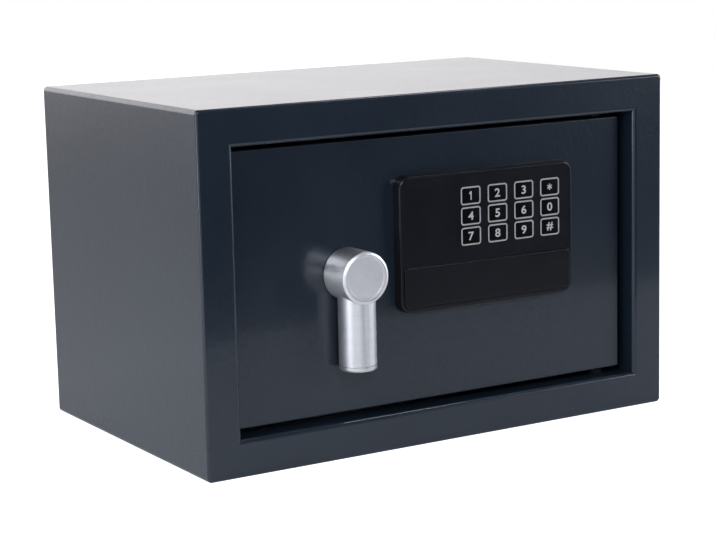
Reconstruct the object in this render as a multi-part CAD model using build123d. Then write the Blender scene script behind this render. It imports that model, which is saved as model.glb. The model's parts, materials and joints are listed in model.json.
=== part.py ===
from build123d import *
import math
import os

# An electronic home safe, in millimetres. The origin is the centre of its base, +Z is up and
# the door faces -Y. It rests with the door closed, the bolts drawn back and the grip hanging.

# body
body_width = 310.0
body_depth = 200.0
body_height = 200.0
body_wall = 2.0
body_corner = 2.5
outer_fold = 1.7
frame_margin = 21.0
opening_fold = 2.5
return_depth = 14.0
anchor_hole_radius = 4.5
inside_corner = 0.5
anchor_spacing = 190.0
base_anchor_y = 15.0
back_anchor_z = 100.0
mat_thickness = 3.0
mat_margin = 2.0
mat_front_from_face = 36.0
mat_hole_radius = 11.0

# door
door_recess = 8.5
door_thickness = 4.0
door_edge_fillet = 0.8
door_corner = 1.0
gap_left = 3.0
gap_right = 5.0
gap_top = 3.0
gap_bottom = 3.5

# concealed hinge: the axis lies inside the door's right edge and behind its face
pivot_from_edge = 10.0
pivot_from_face = 10.0
hinge_pin_radius = 3.0
hinge_tab_thickness = 3.0
hinge_tab_width = 20.0
hinge_tab_height = 27.5
hinge_tab_back = 7.5
hinge_tab_corner = 2.5
hinge_leg_thickness = 2.5
hinge_bracket_thickness = 3.0
hinge_bracket_back = 13.5
hinge_bracket_reach = 19.0
hinge_bracket_relief = 0.5
hinge_pin_overhang = 3.0
hinge_pin_chamfer = 0.6
hinge_washer_radius = 4.3
thrust_gap = 0.2

# handle, placed from the door's left edge and middle height
handle_from_left = 69.3
handle_above_middle = 2.75
knob_radius = 14.6
knob_length = 22.0
knob_chamfer = 1.2
knob_off_door = 0.3
grip_radius = 10.5
grip_drop = 52.4
grip_behind_face = 11.0
grip_end_chamfer = 2.0
cap_radius = 12.9
cap_thickness = 1.3
cap_recess = 0.35
cap_dish = 0.35
handle_screw_radius = 2.0
handle_screw_head = 3.5
handle_screw_head_height = 3.0
handle_screw_socket = 1.9
handle_screw_socket_depth = 1.8
handle_screw_grip = 9.0
spindle_radius = 5.0
spindle_square = 7.0
spindle_in_knob = 14.5
spindle_web = 2.0
bush_radius = 7.0
bush_flange_radius = 9.0
bush_flange = 1.5

# bolt work
bolt_throw = 12.0
handle_angle = 90.0
crank_thickness = 3.0
crank_hub_radius = 7.5
crank_pin_radius = 2.5
crank_pin_wall = 2.0
crank_pin_past_carriage = 2.0
crank_slot_clearance = 0.45
carriage_thickness = 2.5
carriage_height = 90.0
carriage_corner = 2.0
carriage_left = 25.0
carriage_plate_width = 34.0
carriage_middle_height = 38.0
carriage_middle_right = 20.0
carriage_arm_height = 12.0
carriage_arm_right = 77.7
carriage_arm_corner = 1.0
carriage_flange_depth = 19.0
bolt_radius = 6.0
bolt_spacing = 60.0
bolt_behind_door = 16.5
bolt_short_of_edge = 0.6
bolt_tip_chamfer = 1.2
bolt_screw_radius = 2.5
bolt_screw_across = 8.0
bolt_screw_head_height = 3.0
bolt_screw_grip = 10.0
bolt_hole_clearance = 0.6
guide_bracket_inset = 2.0
guide_bracket_thickness = 2.5
guide_bracket_foot = 14.5
guide_bracket_past_bolt = 3.0
stud_radius = 3.0
stud_base_radius = 5.0
stud_clip_thickness = 1.2
stud_pair_from_handle = 34.3
stud_pair_spacing = 72.0
stud_arm_from_handle = 51.7
tooth_width = 4.0
tooth_height = 4.0
keeper_half_height = 52.0
keeper_depth = 30.0
keeper_hole_clearance = 1.0

# blocking plunger and its solenoid
plunger_from_handle = 67.7
plunger_radius = 3.0
plunger_lift = 4.0
plunger_over_tooth = 0.6
plunger_side_gap = 0.9
plunger_collar_radius = 4.4
plunger_collar = 1.2
plunger_collar_up = 3.4
plunger_below_top = 6.0
plunger_chamfer = 0.5
lift_pin_radius = 1.0
lift_pin_up = 1.7
lift_pin_past_middle = 2.6
lift_arm_thickness = 1.5
lift_arm_drop = 1.0
lift_arm_corner = 1.0
lift_foot_radius = 2.0
solenoid_up = 10.4
solenoid_height = 30.0
solenoid_width = 20.0
solenoid_depth = 14.0
solenoid_sheet = 2.0
solenoid_bore_clearance = 0.2
coil_flange = 1.2
coil_flange_side = 0.8
spring_wire = 0.6
spring_radius = 3.85
spring_turns = 3
spring_end_gap = 0.05

# keypad housing
keypad_from_handle = 91.7
keypad_above_middle = 14.75
keypad_width = 120.0
keypad_height = 78.0
keypad_depth = 6.5
keypad_corner = 7.0
keypad_edge_fillet = 1.3
keypad_draft = 3.0
keypad_wall = 1.8
panel_inset = 2.4
panel_corner = 4.0
overlay_thickness = 0.4
overlay_recess = 0.5
strip_height = 23.0
strip_bottom = 3.2
strip_gap = 1.2
strip_corner = 2.4
strip_pocket = 3.4
strip_floor = 1.2
cover_proud = 0.8
cover_wall = 1.2
cover_edge_fillet = 0.7
cover_inside_corner = 1.0
cover_clearance = 0.2
key_width = 13.8
key_height = 10.6
key_gap_x = 4.67
key_gap_z = 1.0
key_field_right = 7.44
key_field_top = 6.8
key_columns = 4
key_corner = 1.7
key_proud = 0.35
key_clearance = 0.15
key_flange = 0.7
key_flange_side = 1.2
key_flange_gap = 0.2
key_travel = 0.6
board_thickness = 1.6
dome_sheet_thickness = 0.3
board_edge_gap = 0.8
board_corner = 4.0
boss_radius = 3.0
boss_shoulder = 4.0
housing_screw_radius = 1.4
housing_screw_across = 5.5
housing_screw_head_height = 1.8
housing_screw_inset = 5.4
housing_screw_above_strip = 4.2
housing_screw_skin = 0.5

# emergency lock
lock_body_radius = 8.0
lock_flange_radius = 9.4
lock_flange = 1.2
lock_plug_radius = 4.94
lock_bore_radius = 5.0
lock_length = 18.8
lock_nut_across = 21.0
lock_nut_height = 3.5
lock_flange_chamfer = 0.4
plug_below_flange = 0.3
plug_tail = 5.0
plug_rivet_radius = 3.8
plug_rivet = 1.5
keyway_outer = 3.6
keyway_inner = 2.4
keyway_notch = 1.2
keyway_depth = 4.0
cam_thickness = 2.0
cam_high = 12.0
cam_hub_radius = 7.0
cam_behind_barrel = 0.4
cam_lead_angle = 15
cam_step_angle = 15
cam_clearance = 0.3
key_turn_angle = 90.0

# electronics and battery compartment
circuit_from_keypad = 40.0
circuit_width = 56.0
circuit_height = 55.0
circuit_above_middle = 22.25
circuit_behind_door = 18.5
circuit_corner = 1.5
circuit_screw_inset = 3.5
circuit_post_across = 5.0
ribbon_width = 12.0
ribbon_thickness = 0.8
ribbon_from_circuit = 10.0
ribbon_above_keypad = 10.0
ribbon_drop = 8.5
ribbon_bend = 2.0
ribbon_straight = 3.0
ribbon_slot = 6.0
ribbon_socket_width = 15.0
ribbon_socket_height = 7.0
ribbon_socket_depth = 6.0
lead_radius = 0.8
lead_socket_width = 12.0
lead_socket_height = 6.0
lead_socket_depth = 5.0
lead_socket_inset = 1.0
coil_socket_width = 6.5
coil_socket_height = 8.0
coil_socket_inset = 0.5
coil_socket_above_middle = 12.0
chip_width = 12.0
chip_height = 6.0
chip_depth = 3.0
chip_left_of_middle = 10.0
chip_below_middle = 7.0
buzzer_radius = 6.0
buzzer_depth = 8.0
buzzer_from_middle = 12.0
lead_spacing_battery = 4.0
lead_spacing_coil = 3.0
cell_radius = 7.15
cell_length = 50.5
cell_nub_radius = 2.7
cell_nub = 1.3
cell_count = 4
cell_side_gap = 0.8
battery_wall = 1.2
battery_flange = 2.8
battery_flange_thickness = 1.5
battery_corner = 1.5
cell_floor_gap = 0.3
cell_above_gap = 1.5
cell_end_gap = 0.55
contact_thickness = 0.4
contact_depth = 10.0
contact_width = 10.0
battery_right_of_circuit = 1.0
battery_from_pan_bottom = 4.4
window_lip = 1.5
window_lip_side = 3.0
lid_tongue = 1.5
lid_grip_width = 18.0
lid_grip_count = 5
lid_grip_pitch = 2.0
lid_grip_cut = 1.0
lid_grip_depth = 0.5
lid_grip_from_top = 6.0
reset_radius = 3.5
reset_travel = 1.5
reset_proud = 1.5
reset_flange = 1.2
reset_flange_side = 1.5
reset_skin_gap = 0.5
reset_foot_radius = 1.8
reset_foot = 0.6
reset_chamfer = 0.6
reset_from_circuit_edge = 12.0
reset_below_middle = 2.0
switch_width = 6.0

# inner cover
pan_depth = 30.0
pan_sheet = 1.2
pan_corner = 4.0
pan_fold = 1.5
pan_left_inset = 0.4
pan_right_inset = 21.0
pan_bottom_inset = 3.5
pan_top_inset = 4.0
pillar_radius = 4.0
pillar_inset = 9.0
pan_screw_radius = 2.0
pan_screw_head = 3.8
pan_screw_head_height = 2.2
pan_screw_grip = 10.0
pan_screw_chamfer = 0.8
low_pillar_left_of_lock = 4.0

# fits
seat_clearance = 0.03
running_clearance = 0.07
free_clearance = 0.3
loose_clearance = 0.2
cut_past = 1.0
screw_tip_room = 1.0

# places that follow from the sizes above
front_y = -body_depth / 2
back_y = body_depth / 2
half_width = body_width / 2
opening_x = (-half_width + frame_margin, half_width - frame_margin)
opening_z = (frame_margin, body_height - frame_margin)
door_x = (opening_x[0] + gap_left, opening_x[1] - gap_right)
door_z = (opening_z[0] + gap_bottom, opening_z[1] - gap_top)
door_front = front_y + door_recess
door_back = door_front + door_thickness
door_middle = (door_z[0] + door_z[1]) / 2
pivot_x = door_x[1] - pivot_from_edge
pivot_y = door_front + pivot_from_face
handle_x = door_x[0] + handle_from_left
handle_z = door_middle + handle_above_middle
keypad_x = handle_x + keypad_from_handle
keypad_z = door_middle + keypad_above_middle
housing_front = door_front - keypad_depth
housing_x = (keypad_x - keypad_width / 2, keypad_x + keypad_width / 2)
housing_z = (keypad_z - keypad_height / 2, keypad_z + keypad_height / 2)
panel_x = (housing_x[0] + panel_inset, housing_x[1] - panel_inset)
strip_z = (housing_z[0] + strip_bottom, housing_z[0] + strip_bottom + strip_height)
overlay_z = (strip_z[1] + strip_gap, housing_z[1] - panel_inset)
pocket_floor = housing_front + strip_pocket
overlay_front = housing_front + overlay_recess - overlay_thickness
key_flange_front = housing_front + keypad_wall + key_flange_gap
sheet_front = key_flange_front + key_flange + key_travel + key_flange_gap
board_front = sheet_front + dome_sheet_thickness
board_back = board_front + board_thickness
lock_x = keypad_x
lock_z = (strip_z[0] + strip_z[1]) / 2
crank_front = door_back + bush_flange + free_clearance
crank_back = crank_front + crank_thickness
carriage_front = crank_back + 2 * free_clearance
carriage_back = carriage_front + carriage_thickness
crank_radius = bolt_throw / 2 / math.sin(math.radians(handle_angle / 2))
bolt_y = door_back + bolt_behind_door
bolt_levels = (handle_z - bolt_spacing / 2, handle_z + bolt_spacing / 2)
bolt_tip_x = door_x[0] + bolt_short_of_edge
flange_x = (door_x[0] + carriage_left, door_x[0] + carriage_left + carriage_thickness)
plunger_x = handle_x + plunger_from_handle
plunger_y = door_back + solenoid_sheet + (solenoid_depth - solenoid_sheet) / 2
arm_z = (handle_z - carriage_arm_height / 2, handle_z + carriage_arm_height / 2)
tooth_x = plunger_x + plunger_radius + plunger_side_gap + tooth_width / 2
plunger_tip = arm_z[1] + tooth_height + plunger_over_tooth
solenoid_z = (plunger_tip + solenoid_up, plunger_tip + solenoid_up + solenoid_height)
pan_x = (door_x[0] + pan_left_inset, door_x[1] - pan_right_inset)
pan_z = (door_z[0] + pan_bottom_inset, door_z[1] - pan_top_inset)
pan_back = door_back + pan_depth
reset_foot_back = pan_back - pan_sheet - reset_skin_gap - reset_flange - reset_foot
circuit_middle_x = keypad_x + circuit_from_keypad
circuit_middle_z = door_middle + circuit_above_middle
circuit_x = (circuit_middle_x - circuit_width / 2, circuit_middle_x + circuit_width / 2)
circuit_z = (circuit_middle_z - circuit_height / 2, circuit_middle_z + circuit_height / 2)
circuit_y = door_back + circuit_behind_door
ribbon_x = circuit_middle_x - ribbon_from_circuit
ribbon_z = keypad_z + ribbon_above_keypad
ribbon_socket_top = ribbon_z - ribbon_drop + ribbon_socket_height / 2
lead_y = circuit_y - lead_socket_depth / 2
battery_leads_x = circuit_middle_x - lead_socket_width / 2
coil_leads_z = circuit_middle_z + coil_socket_above_middle
reset_x = circuit_x[1] - reset_from_circuit_edge
reset_z = circuit_middle_z - reset_below_middle
lock_back = housing_front + strip_pocket - lock_flange + lock_length
cam_front = lock_back + cam_behind_barrel


def front_view(y):
    return Plane(origin=(0, y, 0), x_dir=(1, 0, 0), z_dir=(0, -1, 0))


# a flat outline, drawn as seen from the front, made solid between two depths
def plate(outline, y_front, y_back):
    return extrude(front_view(y_back) * outline, amount=y_back - y_front)


def rect(x, z, corner=0):
    width = x[1] - x[0]
    height = z[1] - z[0]
    shape = RectangleRounded(width, height, corner) if corner else Rectangle(width, height)
    return Pos((x[0] + x[1]) / 2, (z[0] + z[1]) / 2) * shape


def disc(x, z, radius):
    return Pos(x, z) * Circle(radius)


def block(x, y, z):
    spans = (x, y, z)
    middle = [(low + high) / 2 for low, high in spans]
    size = [high - low for low, high in spans]
    return Pos(*middle) * Box(*size)


def rod_x(y, z, radius, x_low, x_high):
    return Pos((x_low + x_high) / 2, y, z) * Rot(0, 90, 0) * Cylinder(radius, x_high - x_low)


def rod_y(x, z, radius, y_front, y_back):
    return plate(disc(x, z, radius), y_front, y_back)


def rod_z(x, y, radius, z_low, z_high):
    return Pos(x, y, (z_low + z_high) / 2) * Cylinder(radius, z_high - z_low)


def grown(span, amount):
    return (span[0] - amount, span[1] + amount)


def front_edges(solid):
    return solid.edges().group_by(Axis.Y)[0]


def back_edges(solid):
    return solid.edges().group_by(Axis.Y)[-1]


# body: a folded wrap, a rear sheet and a front frame whose return lines the opening
def inside_outline():
    corner = max(body_corner - body_wall, inside_corner)
    return rect(grown((-half_width, half_width), -body_wall), grown((0, body_height), -body_wall), corner)


def body_shell():
    outer = rect((-half_width, half_width), (0, body_height), body_corner)
    shell = plate(outer - inside_outline(), front_y + body_wall, back_y)
    for side in (-1, 1):
        x = side * anchor_spacing / 2
        shell -= rod_z(x, base_anchor_y, anchor_hole_radius, -cut_past, body_wall + cut_past)
    return shell


def back_panel():
    front = back_y - body_wall
    panel = plate(inside_outline(), front, back_y)
    for side in (-1, 1):
        x = side * anchor_spacing / 2
        panel -= rod_y(x, back_anchor_z, anchor_hole_radius, front - cut_past, back_y + cut_past)
    return panel


def front_frame():
    outline = rect((-half_width, half_width), (0, body_height), body_corner)
    face = plate(outline, front_y, front_y + body_wall)
    face = fillet(front_edges(face), outer_fold)
    lining_x = grown(opening_x, body_wall)
    lining_z = grown(opening_z, body_wall)
    frame = face + plate(rect(lining_x, lining_z), front_y + body_wall / 2, front_y + return_depth)
    frame -= plate(rect(opening_x, opening_z), front_y - cut_past, front_y + return_depth + cut_past)
    inside = [edge for edge in front_edges(frame) if abs(edge.center().X) < lining_x[1]
              and lining_z[0] < edge.center().Z < lining_z[1]]
    return fillet(inside, opening_fold)


def bolt_keeper():
    back = front_y + return_depth + keeper_depth
    levels = (handle_z - keeper_half_height, handle_z + keeper_half_height)
    lining_x = (opening_x[0] - body_wall, opening_x[0])
    angle = block(lining_x, (front_y + return_depth, back), levels)
    angle += block((-half_width + body_wall, opening_x[0]), (back - body_wall, back), levels)
    bend = angle.edges().filter_by(Axis.Z).group_by(Axis.Y)[-1].sort_by(Axis.X)[-1]
    angle = fillet(bend, body_wall - free_clearance)
    reach = bolt_radius + keeper_hole_clearance
    for level in bolt_levels:
        hole_z = grown((level, level), reach)
        angle -= block(grown(lining_x, cut_past), grown((bolt_y, bolt_y), reach), hole_z)
    return angle


# the lower one of two mirrored angles: a shelf under the frame's return and a leg to the base
def lower_hinge_bracket():
    top = opening_z[0] - body_wall
    reach = (pivot_x - hinge_bracket_reach, half_width - body_wall - hinge_bracket_relief)
    back = pivot_y + hinge_bracket_back
    shelf = block(reach, (front_y + body_wall, back), (top - hinge_bracket_thickness, top))
    shelf += block(reach, (back - body_wall, back), (body_wall, top))
    return shelf - rod_z(pivot_x, pivot_y, hinge_pin_radius + running_clearance, body_wall, top + cut_past)


def hinge_brackets():
    lower = lower_hinge_bracket()
    return lower + mirror(lower, Plane.XY.offset(body_height / 2))


def hinge_washer():
    low = opening_z[0] - body_wall
    high = door_z[0] - thrust_gap
    ring = rod_z(pivot_x, pivot_y, hinge_washer_radius, low, high)
    bore = hinge_pin_radius + running_clearance
    return ring - rod_z(pivot_x, pivot_y, bore, low - cut_past, high + cut_past)


def floor_mat():
    side = half_width - body_wall - mat_margin
    top = body_wall + mat_thickness
    back = back_y - body_wall - mat_margin
    mat = block((-side, side), (front_y + mat_front_from_face, back), (body_wall, top))
    for side in (-1, 1):
        x = side * anchor_spacing / 2
        mat -= rod_z(x, base_anchor_y, mat_hole_radius, body_wall - cut_past, top + cut_past)
    return mat


# door plate with its hinge parts
def housing_screw_places():
    left = housing_x[0] + keypad_wall + housing_screw_inset
    right = housing_x[1] - housing_screw_inset
    low = overlay_z[0] + housing_screw_above_strip
    high = housing_z[1] - housing_screw_inset
    return [(x, z) for x in (left, right) for z in (low, high)]


def pillar_places():
    left = pan_x[0] + pillar_inset + pan_sheet
    right = pan_x[1] - pillar_inset - pan_sheet
    low = pan_z[0] + pillar_inset
    high = pan_z[1] - pillar_inset
    return [(left, low), (left, high), (right, high), (lock_x - low_pillar_left_of_lock, low)]


def circuit_corners():
    xs = grown(circuit_x, -circuit_screw_inset)
    zs = grown(circuit_z, -circuit_screw_inset)
    return [(x, z) for x in xs for z in zs]


def door_plate():
    outline = rect(door_x, door_z, door_corner)
    outline -= disc(handle_x, handle_z, bush_radius + seat_clearance)
    outline -= disc(lock_x, lock_z, lock_body_radius + 2 * seat_clearance)
    outline -= Pos(ribbon_x, ribbon_z) * SlotOverall(ribbon_width + ribbon_slot, ribbon_slot)
    for x, z in housing_screw_places():
        outline -= disc(x, z, housing_screw_radius + free_clearance)
    door = plate(outline, door_front, door_back)
    inner_x = grown(door_x, -door_corner)
    inner_z = grown(door_z, -door_corner)
    rim = [edge for edge in front_edges(door)
           if not (inner_x[0] < edge.center().X < inner_x[1] and inner_z[0] < edge.center().Z < inner_z[1])]
    return fillet(rim, door_edge_fillet)


def lower_hinge_tab():
    x = (door_x[1] - hinge_tab_width, door_x[1])
    low = door_z[0]
    top = low + hinge_tab_thickness
    tab = block(x, (door_back, pivot_y + hinge_tab_back), (low, top))
    tab += block(x, (door_back, door_back + hinge_leg_thickness), (low, low + hinge_tab_height))
    corner = tab.edges().filter_by(Axis.Z).group_by(Axis.Y)[-1]
    tab = fillet(corner, hinge_tab_corner)
    return tab - rod_z(pivot_x, pivot_y, hinge_pin_radius + seat_clearance, low - cut_past, top + cut_past)


def hinge_tabs():
    lower = lower_hinge_tab()
    return lower + mirror(lower, Plane.XY.offset(door_middle))


# the pins are riveted in the tabs and turn in the brackets
def hinge_pins():
    past_frame = body_wall + hinge_bracket_thickness + hinge_pin_overhang
    low = opening_z[0] - past_frame
    high = opening_z[1] + past_frame
    lower = rod_z(pivot_x, pivot_y, hinge_pin_radius, low, door_z[0] + hinge_tab_thickness)
    lower = chamfer(lower.edges().group_by(Axis.Z)[0], hinge_pin_chamfer)
    upper = rod_z(pivot_x, pivot_y, hinge_pin_radius, door_z[1] - hinge_tab_thickness, high)
    return lower + chamfer(upper.edges().group_by(Axis.Z)[-1], hinge_pin_chamfer)


# handle: one casting of a round knob and a bar grip, with a pressed-in face cap
knob_front = door_front - knob_length
knob_back = door_front - knob_off_door
grip_y = knob_front + grip_behind_face
spindle_front = door_front - spindle_in_knob
screw_seat = spindle_front - spindle_web


def handle_casting():
    knob = rod_y(handle_x, handle_z, knob_radius, knob_front, knob_back)
    knob = chamfer(front_edges(knob), knob_chamfer)
    grip = rod_z(handle_x, grip_y, grip_radius, handle_z - grip_drop, handle_z)
    grip = chamfer(grip.edges().group_by(Axis.Z)[0], grip_end_chamfer)
    casting = knob + grip
    cap_floor = knob_front + cap_recess + cap_thickness
    steps = ((cap_radius + seat_clearance, knob_front - cut_past, cap_floor),
             (handle_screw_head + free_clearance, cap_floor - cut_past, screw_seat),
             (handle_screw_radius + running_clearance, screw_seat - cut_past, spindle_front),
             (spindle_radius + seat_clearance, spindle_front, knob_back + cut_past))
    for radius, front, back in steps:
        casting -= rod_y(handle_x, handle_z, radius, front, back)
    return casting


# a shallow dish: the disc less a large ball that touches its rim
def handle_face_cap():
    front = knob_front + cap_recess
    cap = rod_y(handle_x, handle_z, cap_radius, front, front + cap_thickness)
    ball_radius = (cap_radius ** 2 + cap_dish ** 2) / (2 * cap_dish)
    return cap - Pos(handle_x, front + cap_dish - ball_radius, handle_z) * Sphere(ball_radius)


def handle_screw():
    front = screw_seat - handle_screw_head_height
    head = rod_y(handle_x, handle_z, handle_screw_head, front, screw_seat)
    socket = Pos(handle_x, handle_z) * RegularPolygon(handle_screw_socket, 6)
    head -= plate(socket, front - cut_past, front + handle_screw_socket_depth)
    tip = spindle_front + handle_screw_grip
    return head + rod_y(handle_x, handle_z, handle_screw_radius, screw_seat, tip)


def handle_spindle():
    shaft = rod_y(handle_x, handle_z, spindle_radius, spindle_front, crank_front)
    square = Pos(handle_x, handle_z) * Rectangle(spindle_square, spindle_square)
    shaft += plate(square, crank_front, crank_back)
    bore = handle_screw_radius + seat_clearance
    bore_end = spindle_front + handle_screw_grip + screw_tip_room
    return shaft - rod_y(handle_x, handle_z, bore, spindle_front - cut_past, bore_end)


def spindle_bush():
    bush = rod_y(handle_x, handle_z, bush_radius, door_front, door_back)
    bush += rod_y(handle_x, handle_z, bush_flange_radius, door_back, door_back + bush_flange)
    bore = spindle_radius + running_clearance
    return bush - rod_y(handle_x, handle_z, bore, door_front - cut_past, crank_front + cut_past)


# the crank's pin starts half the turn to the right of straight down
half_turn = math.radians(handle_angle / 2)
pin_x = handle_x + crank_radius * math.sin(half_turn)
pin_z = handle_z - crank_radius * math.cos(half_turn)


def crank_arm():
    lobes = disc(handle_x, handle_z, crank_hub_radius) + disc(pin_x, pin_z, crank_pin_radius + crank_pin_wall)
    outline = make_hull(lobes.edges())
    square = spindle_square + 2 * seat_clearance
    outline -= Pos(handle_x, handle_z) * Rectangle(square, square)
    arm = plate(outline, crank_front, crank_back)
    return arm + rod_y(pin_x, pin_z, crank_pin_radius, crank_back, carriage_back + crank_pin_past_carriage)


# bolt work: a flat carriage on three studs, with a folded flange that carries two bolts
def stud_places():
    left = handle_x - stud_pair_from_handle
    return [(left, handle_z - stud_pair_spacing / 2), (left, handle_z + stud_pair_spacing / 2),
            (handle_x + stud_arm_from_handle, handle_z)]


def bolt_carriage():
    left = flange_x[0]
    tall = grown((handle_z, handle_z), carriage_height / 2)
    middle = grown((handle_z, handle_z), carriage_middle_height / 2)
    outline = rect((left, left + carriage_plate_width), tall, carriage_corner)
    outline += rect((left + carriage_corner, handle_x + carriage_middle_right), middle, carriage_corner)
    outline += rect((handle_x, handle_x + carriage_arm_right), arm_z, carriage_arm_corner)
    tooth_sides = grown((tooth_x, tooth_x), tooth_width / 2)
    tooth_top = arm_z[1] + tooth_height
    outline += Polygon((tooth_sides[0], handle_z), (tooth_sides[1], handle_z), (tooth_sides[1], tooth_top),
                       (tooth_x, tooth_top), (tooth_sides[0], tooth_top - tooth_width / 2), align=None)
    slot = SlotOverall(bolt_throw + 2 * (stud_radius + free_clearance), 2 * (stud_radius + running_clearance))
    for x, z in stud_places():
        outline -= Pos(x + bolt_throw / 2, z) * slot
    reach = crank_pin_radius + crank_slot_clearance
    lowest = handle_z - crank_radius
    outline -= disc(pin_x, lowest, reach) + disc(pin_x, pin_z, reach)
    outline -= rect((pin_x - reach, pin_x + reach), (lowest, pin_z))
    carriage = plate(outline, carriage_front, carriage_back)
    carriage += block(flange_x, (carriage_front, carriage_front + carriage_flange_depth), tall)
    screw_hole = bolt_screw_radius + seat_clearance
    for level in bolt_levels:
        carriage -= rod_x(bolt_y, level, screw_hole, flange_x[0] - cut_past, flange_x[1] + cut_past)
    return carriage


def locking_bolts():
    bolts = Part()
    hole = bolt_screw_radius + seat_clearance
    hole_end = flange_x[0] - bolt_screw_grip - screw_tip_room
    for level in bolt_levels:
        bolt = rod_x(bolt_y, level, bolt_radius, bolt_tip_x, flange_x[0])
        bolt = chamfer(bolt.edges().group_by(Axis.X)[0], bolt_tip_chamfer)
        bolts += bolt - rod_x(bolt_y, level, hole, hole_end, flange_x[0] + cut_past)
    return bolts


def bolt_screws():
    screws = Part()
    for level in bolt_levels:
        hexagon = Plane(origin=(flange_x[1], bolt_y, level), z_dir=(1, 0, 0)) * RegularPolygon(
            bolt_screw_across / 2, 6, major_radius=False)
        head = extrude(hexagon, amount=bolt_screw_head_height)
        screws += head + rod_x(bolt_y, level, bolt_screw_radius, flange_x[0] - bolt_screw_grip, flange_x[1])
    return screws


def guide_studs():
    studs = Part()
    shoulder = carriage_front - free_clearance
    clip = carriage_back + free_clearance
    for x, z in stud_places():
        stud = rod_y(x, z, stud_base_radius, door_back, shoulder)
        stud += rod_y(x, z, stud_radius, shoulder, clip)
        studs += stud + rod_y(x, z, stud_base_radius, clip, clip + stud_clip_thickness)
    return studs


def bolt_guide_bracket():
    left = door_x[0] + guide_bracket_inset
    right = left + guide_bracket_thickness
    back = bolt_y + bolt_radius + guide_bracket_past_bolt
    levels = grown((handle_z, handle_z), carriage_height / 2)
    bracket = block((left, right), (door_back, back), levels)
    bracket += block((left, left + guide_bracket_foot), (door_back, door_back + body_wall), levels)
    for level in bolt_levels:
        bracket -= rod_x(bolt_y, level, bolt_radius + running_clearance, left - cut_past, right + cut_past)
    return bracket


# keypad housing: drafted shell with a framed key field and a pocket for the lower strip
def key_places():
    names = ("1", "2", "3", "star", "4", "5", "6", "0", "7", "8", "9", "hash")
    last_x = panel_x[1] - key_field_right - key_width / 2
    first_z = overlay_z[1] - key_field_top - key_height / 2
    places = {}
    for index, name in enumerate(names):
        row, column = divmod(index, key_columns)
        x = last_x - (key_columns - 1 - column) * (key_width + key_gap_x)
        places[name] = (x, first_z - row * (key_height + key_gap_z))
    return places


def key_outline(x, z, clearance=0):
    width = key_width + 2 * clearance
    height = key_height + 2 * clearance
    return Pos(x, z) * RectangleRounded(width, height, key_corner + clearance)


def keypad_housing():
    outline = front_view(door_front) * rect(housing_x, housing_z, keypad_corner)
    housing = extrude(outline, amount=keypad_depth, taper=keypad_draft)
    housing = fillet(front_edges(housing), keypad_edge_fillet)
    cavity = rect(grown(housing_x, -keypad_wall), grown(housing_z, -keypad_wall), keypad_corner - keypad_wall)
    housing -= plate(cavity, housing_front + keypad_wall, door_front + cut_past)
    tray = rect(grown(panel_x, strip_floor), grown(strip_z, strip_floor), strip_corner + strip_floor)
    housing += plate(tray, housing_front + keypad_wall / 2, pocket_floor + strip_floor)
    housing -= plate(rect(panel_x, strip_z, strip_corner), housing_front - cut_past, pocket_floor)
    lock_hole = lock_body_radius + 2 * seat_clearance
    housing -= rod_y(lock_x, lock_z, lock_hole, housing_front, door_front + cut_past)
    screw_hole = housing_screw_radius + seat_clearance
    hole_front = housing_front + keypad_wall + housing_screw_skin
    for x, z in housing_screw_places():
        housing += rod_y(x, z, boss_shoulder, housing_front + keypad_wall / 2, sheet_front)
        housing += rod_y(x, z, boss_radius, sheet_front, door_front)
        housing -= rod_y(x, z, screw_hole, hole_front, door_front + cut_past)
    recess = rect(panel_x, overlay_z, panel_corner)
    housing -= plate(recess, housing_front - cut_past, housing_front + overlay_recess)
    for x, z in key_places().values():
        hole = Pos(x, z) * Rectangle(key_width + 2 * key_clearance, key_height + 2 * key_clearance)
        housing -= plate(hole, housing_front - cut_past, housing_front + keypad_wall + cut_past)
    return housing


def keypad_overlay():
    field = rect(grown(panel_x, -running_clearance), grown(overlay_z, -running_clearance), panel_corner)
    for x, z in key_places().values():
        field -= key_outline(x, z, key_clearance)
    return plate(field, overlay_front, housing_front + overlay_recess)


def keypad_key(x, z):
    cap = plate(key_outline(x, z), overlay_front - key_proud, key_flange_front)
    flange = Pos(x, z) * Rectangle(key_width + 2 * key_flange_side, key_height)
    return cap + plate(flange, key_flange_front, key_flange_front + key_flange)


def board_outline():
    inset = keypad_wall + board_edge_gap
    levels = (strip_z[1] + strip_floor + board_edge_gap, housing_z[1] - inset)
    outline = rect(grown(housing_x, -inset), levels, board_corner)
    for x, z in housing_screw_places():
        outline -= disc(x, z, boss_radius + free_clearance)
    return outline


def dome_sheet():
    return plate(board_outline(), sheet_front, board_front)


def keypad_board():
    return plate(board_outline(), board_front, board_back)


def housing_screws():
    screws = Part()
    tip = housing_front + keypad_wall + 2 * housing_screw_skin
    for x, z in housing_screw_places():
        hexagon = Pos(x, z) * RegularPolygon(housing_screw_across / 2, 6, major_radius=False)
        head = plate(hexagon, door_back, door_back + housing_screw_head_height)
        screws += head + rod_y(x, z, housing_screw_radius, tip, door_back)
    return screws


# the strip that lifts off to reach the emergency lock
def key_cover():
    front = housing_front - cover_proud
    x = grown(panel_x, -cover_clearance)
    z = grown(strip_z, -cover_clearance)
    cover = plate(rect(x, z, strip_corner - cover_clearance), front, pocket_floor - cover_clearance)
    cover = fillet(front_edges(cover), cover_edge_fillet)
    hollow = rect(grown(x, -cover_wall), grown(z, -cover_wall), cover_inside_corner)
    return cover - plate(hollow, front + cover_wall, pocket_floor + cut_past)


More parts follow.
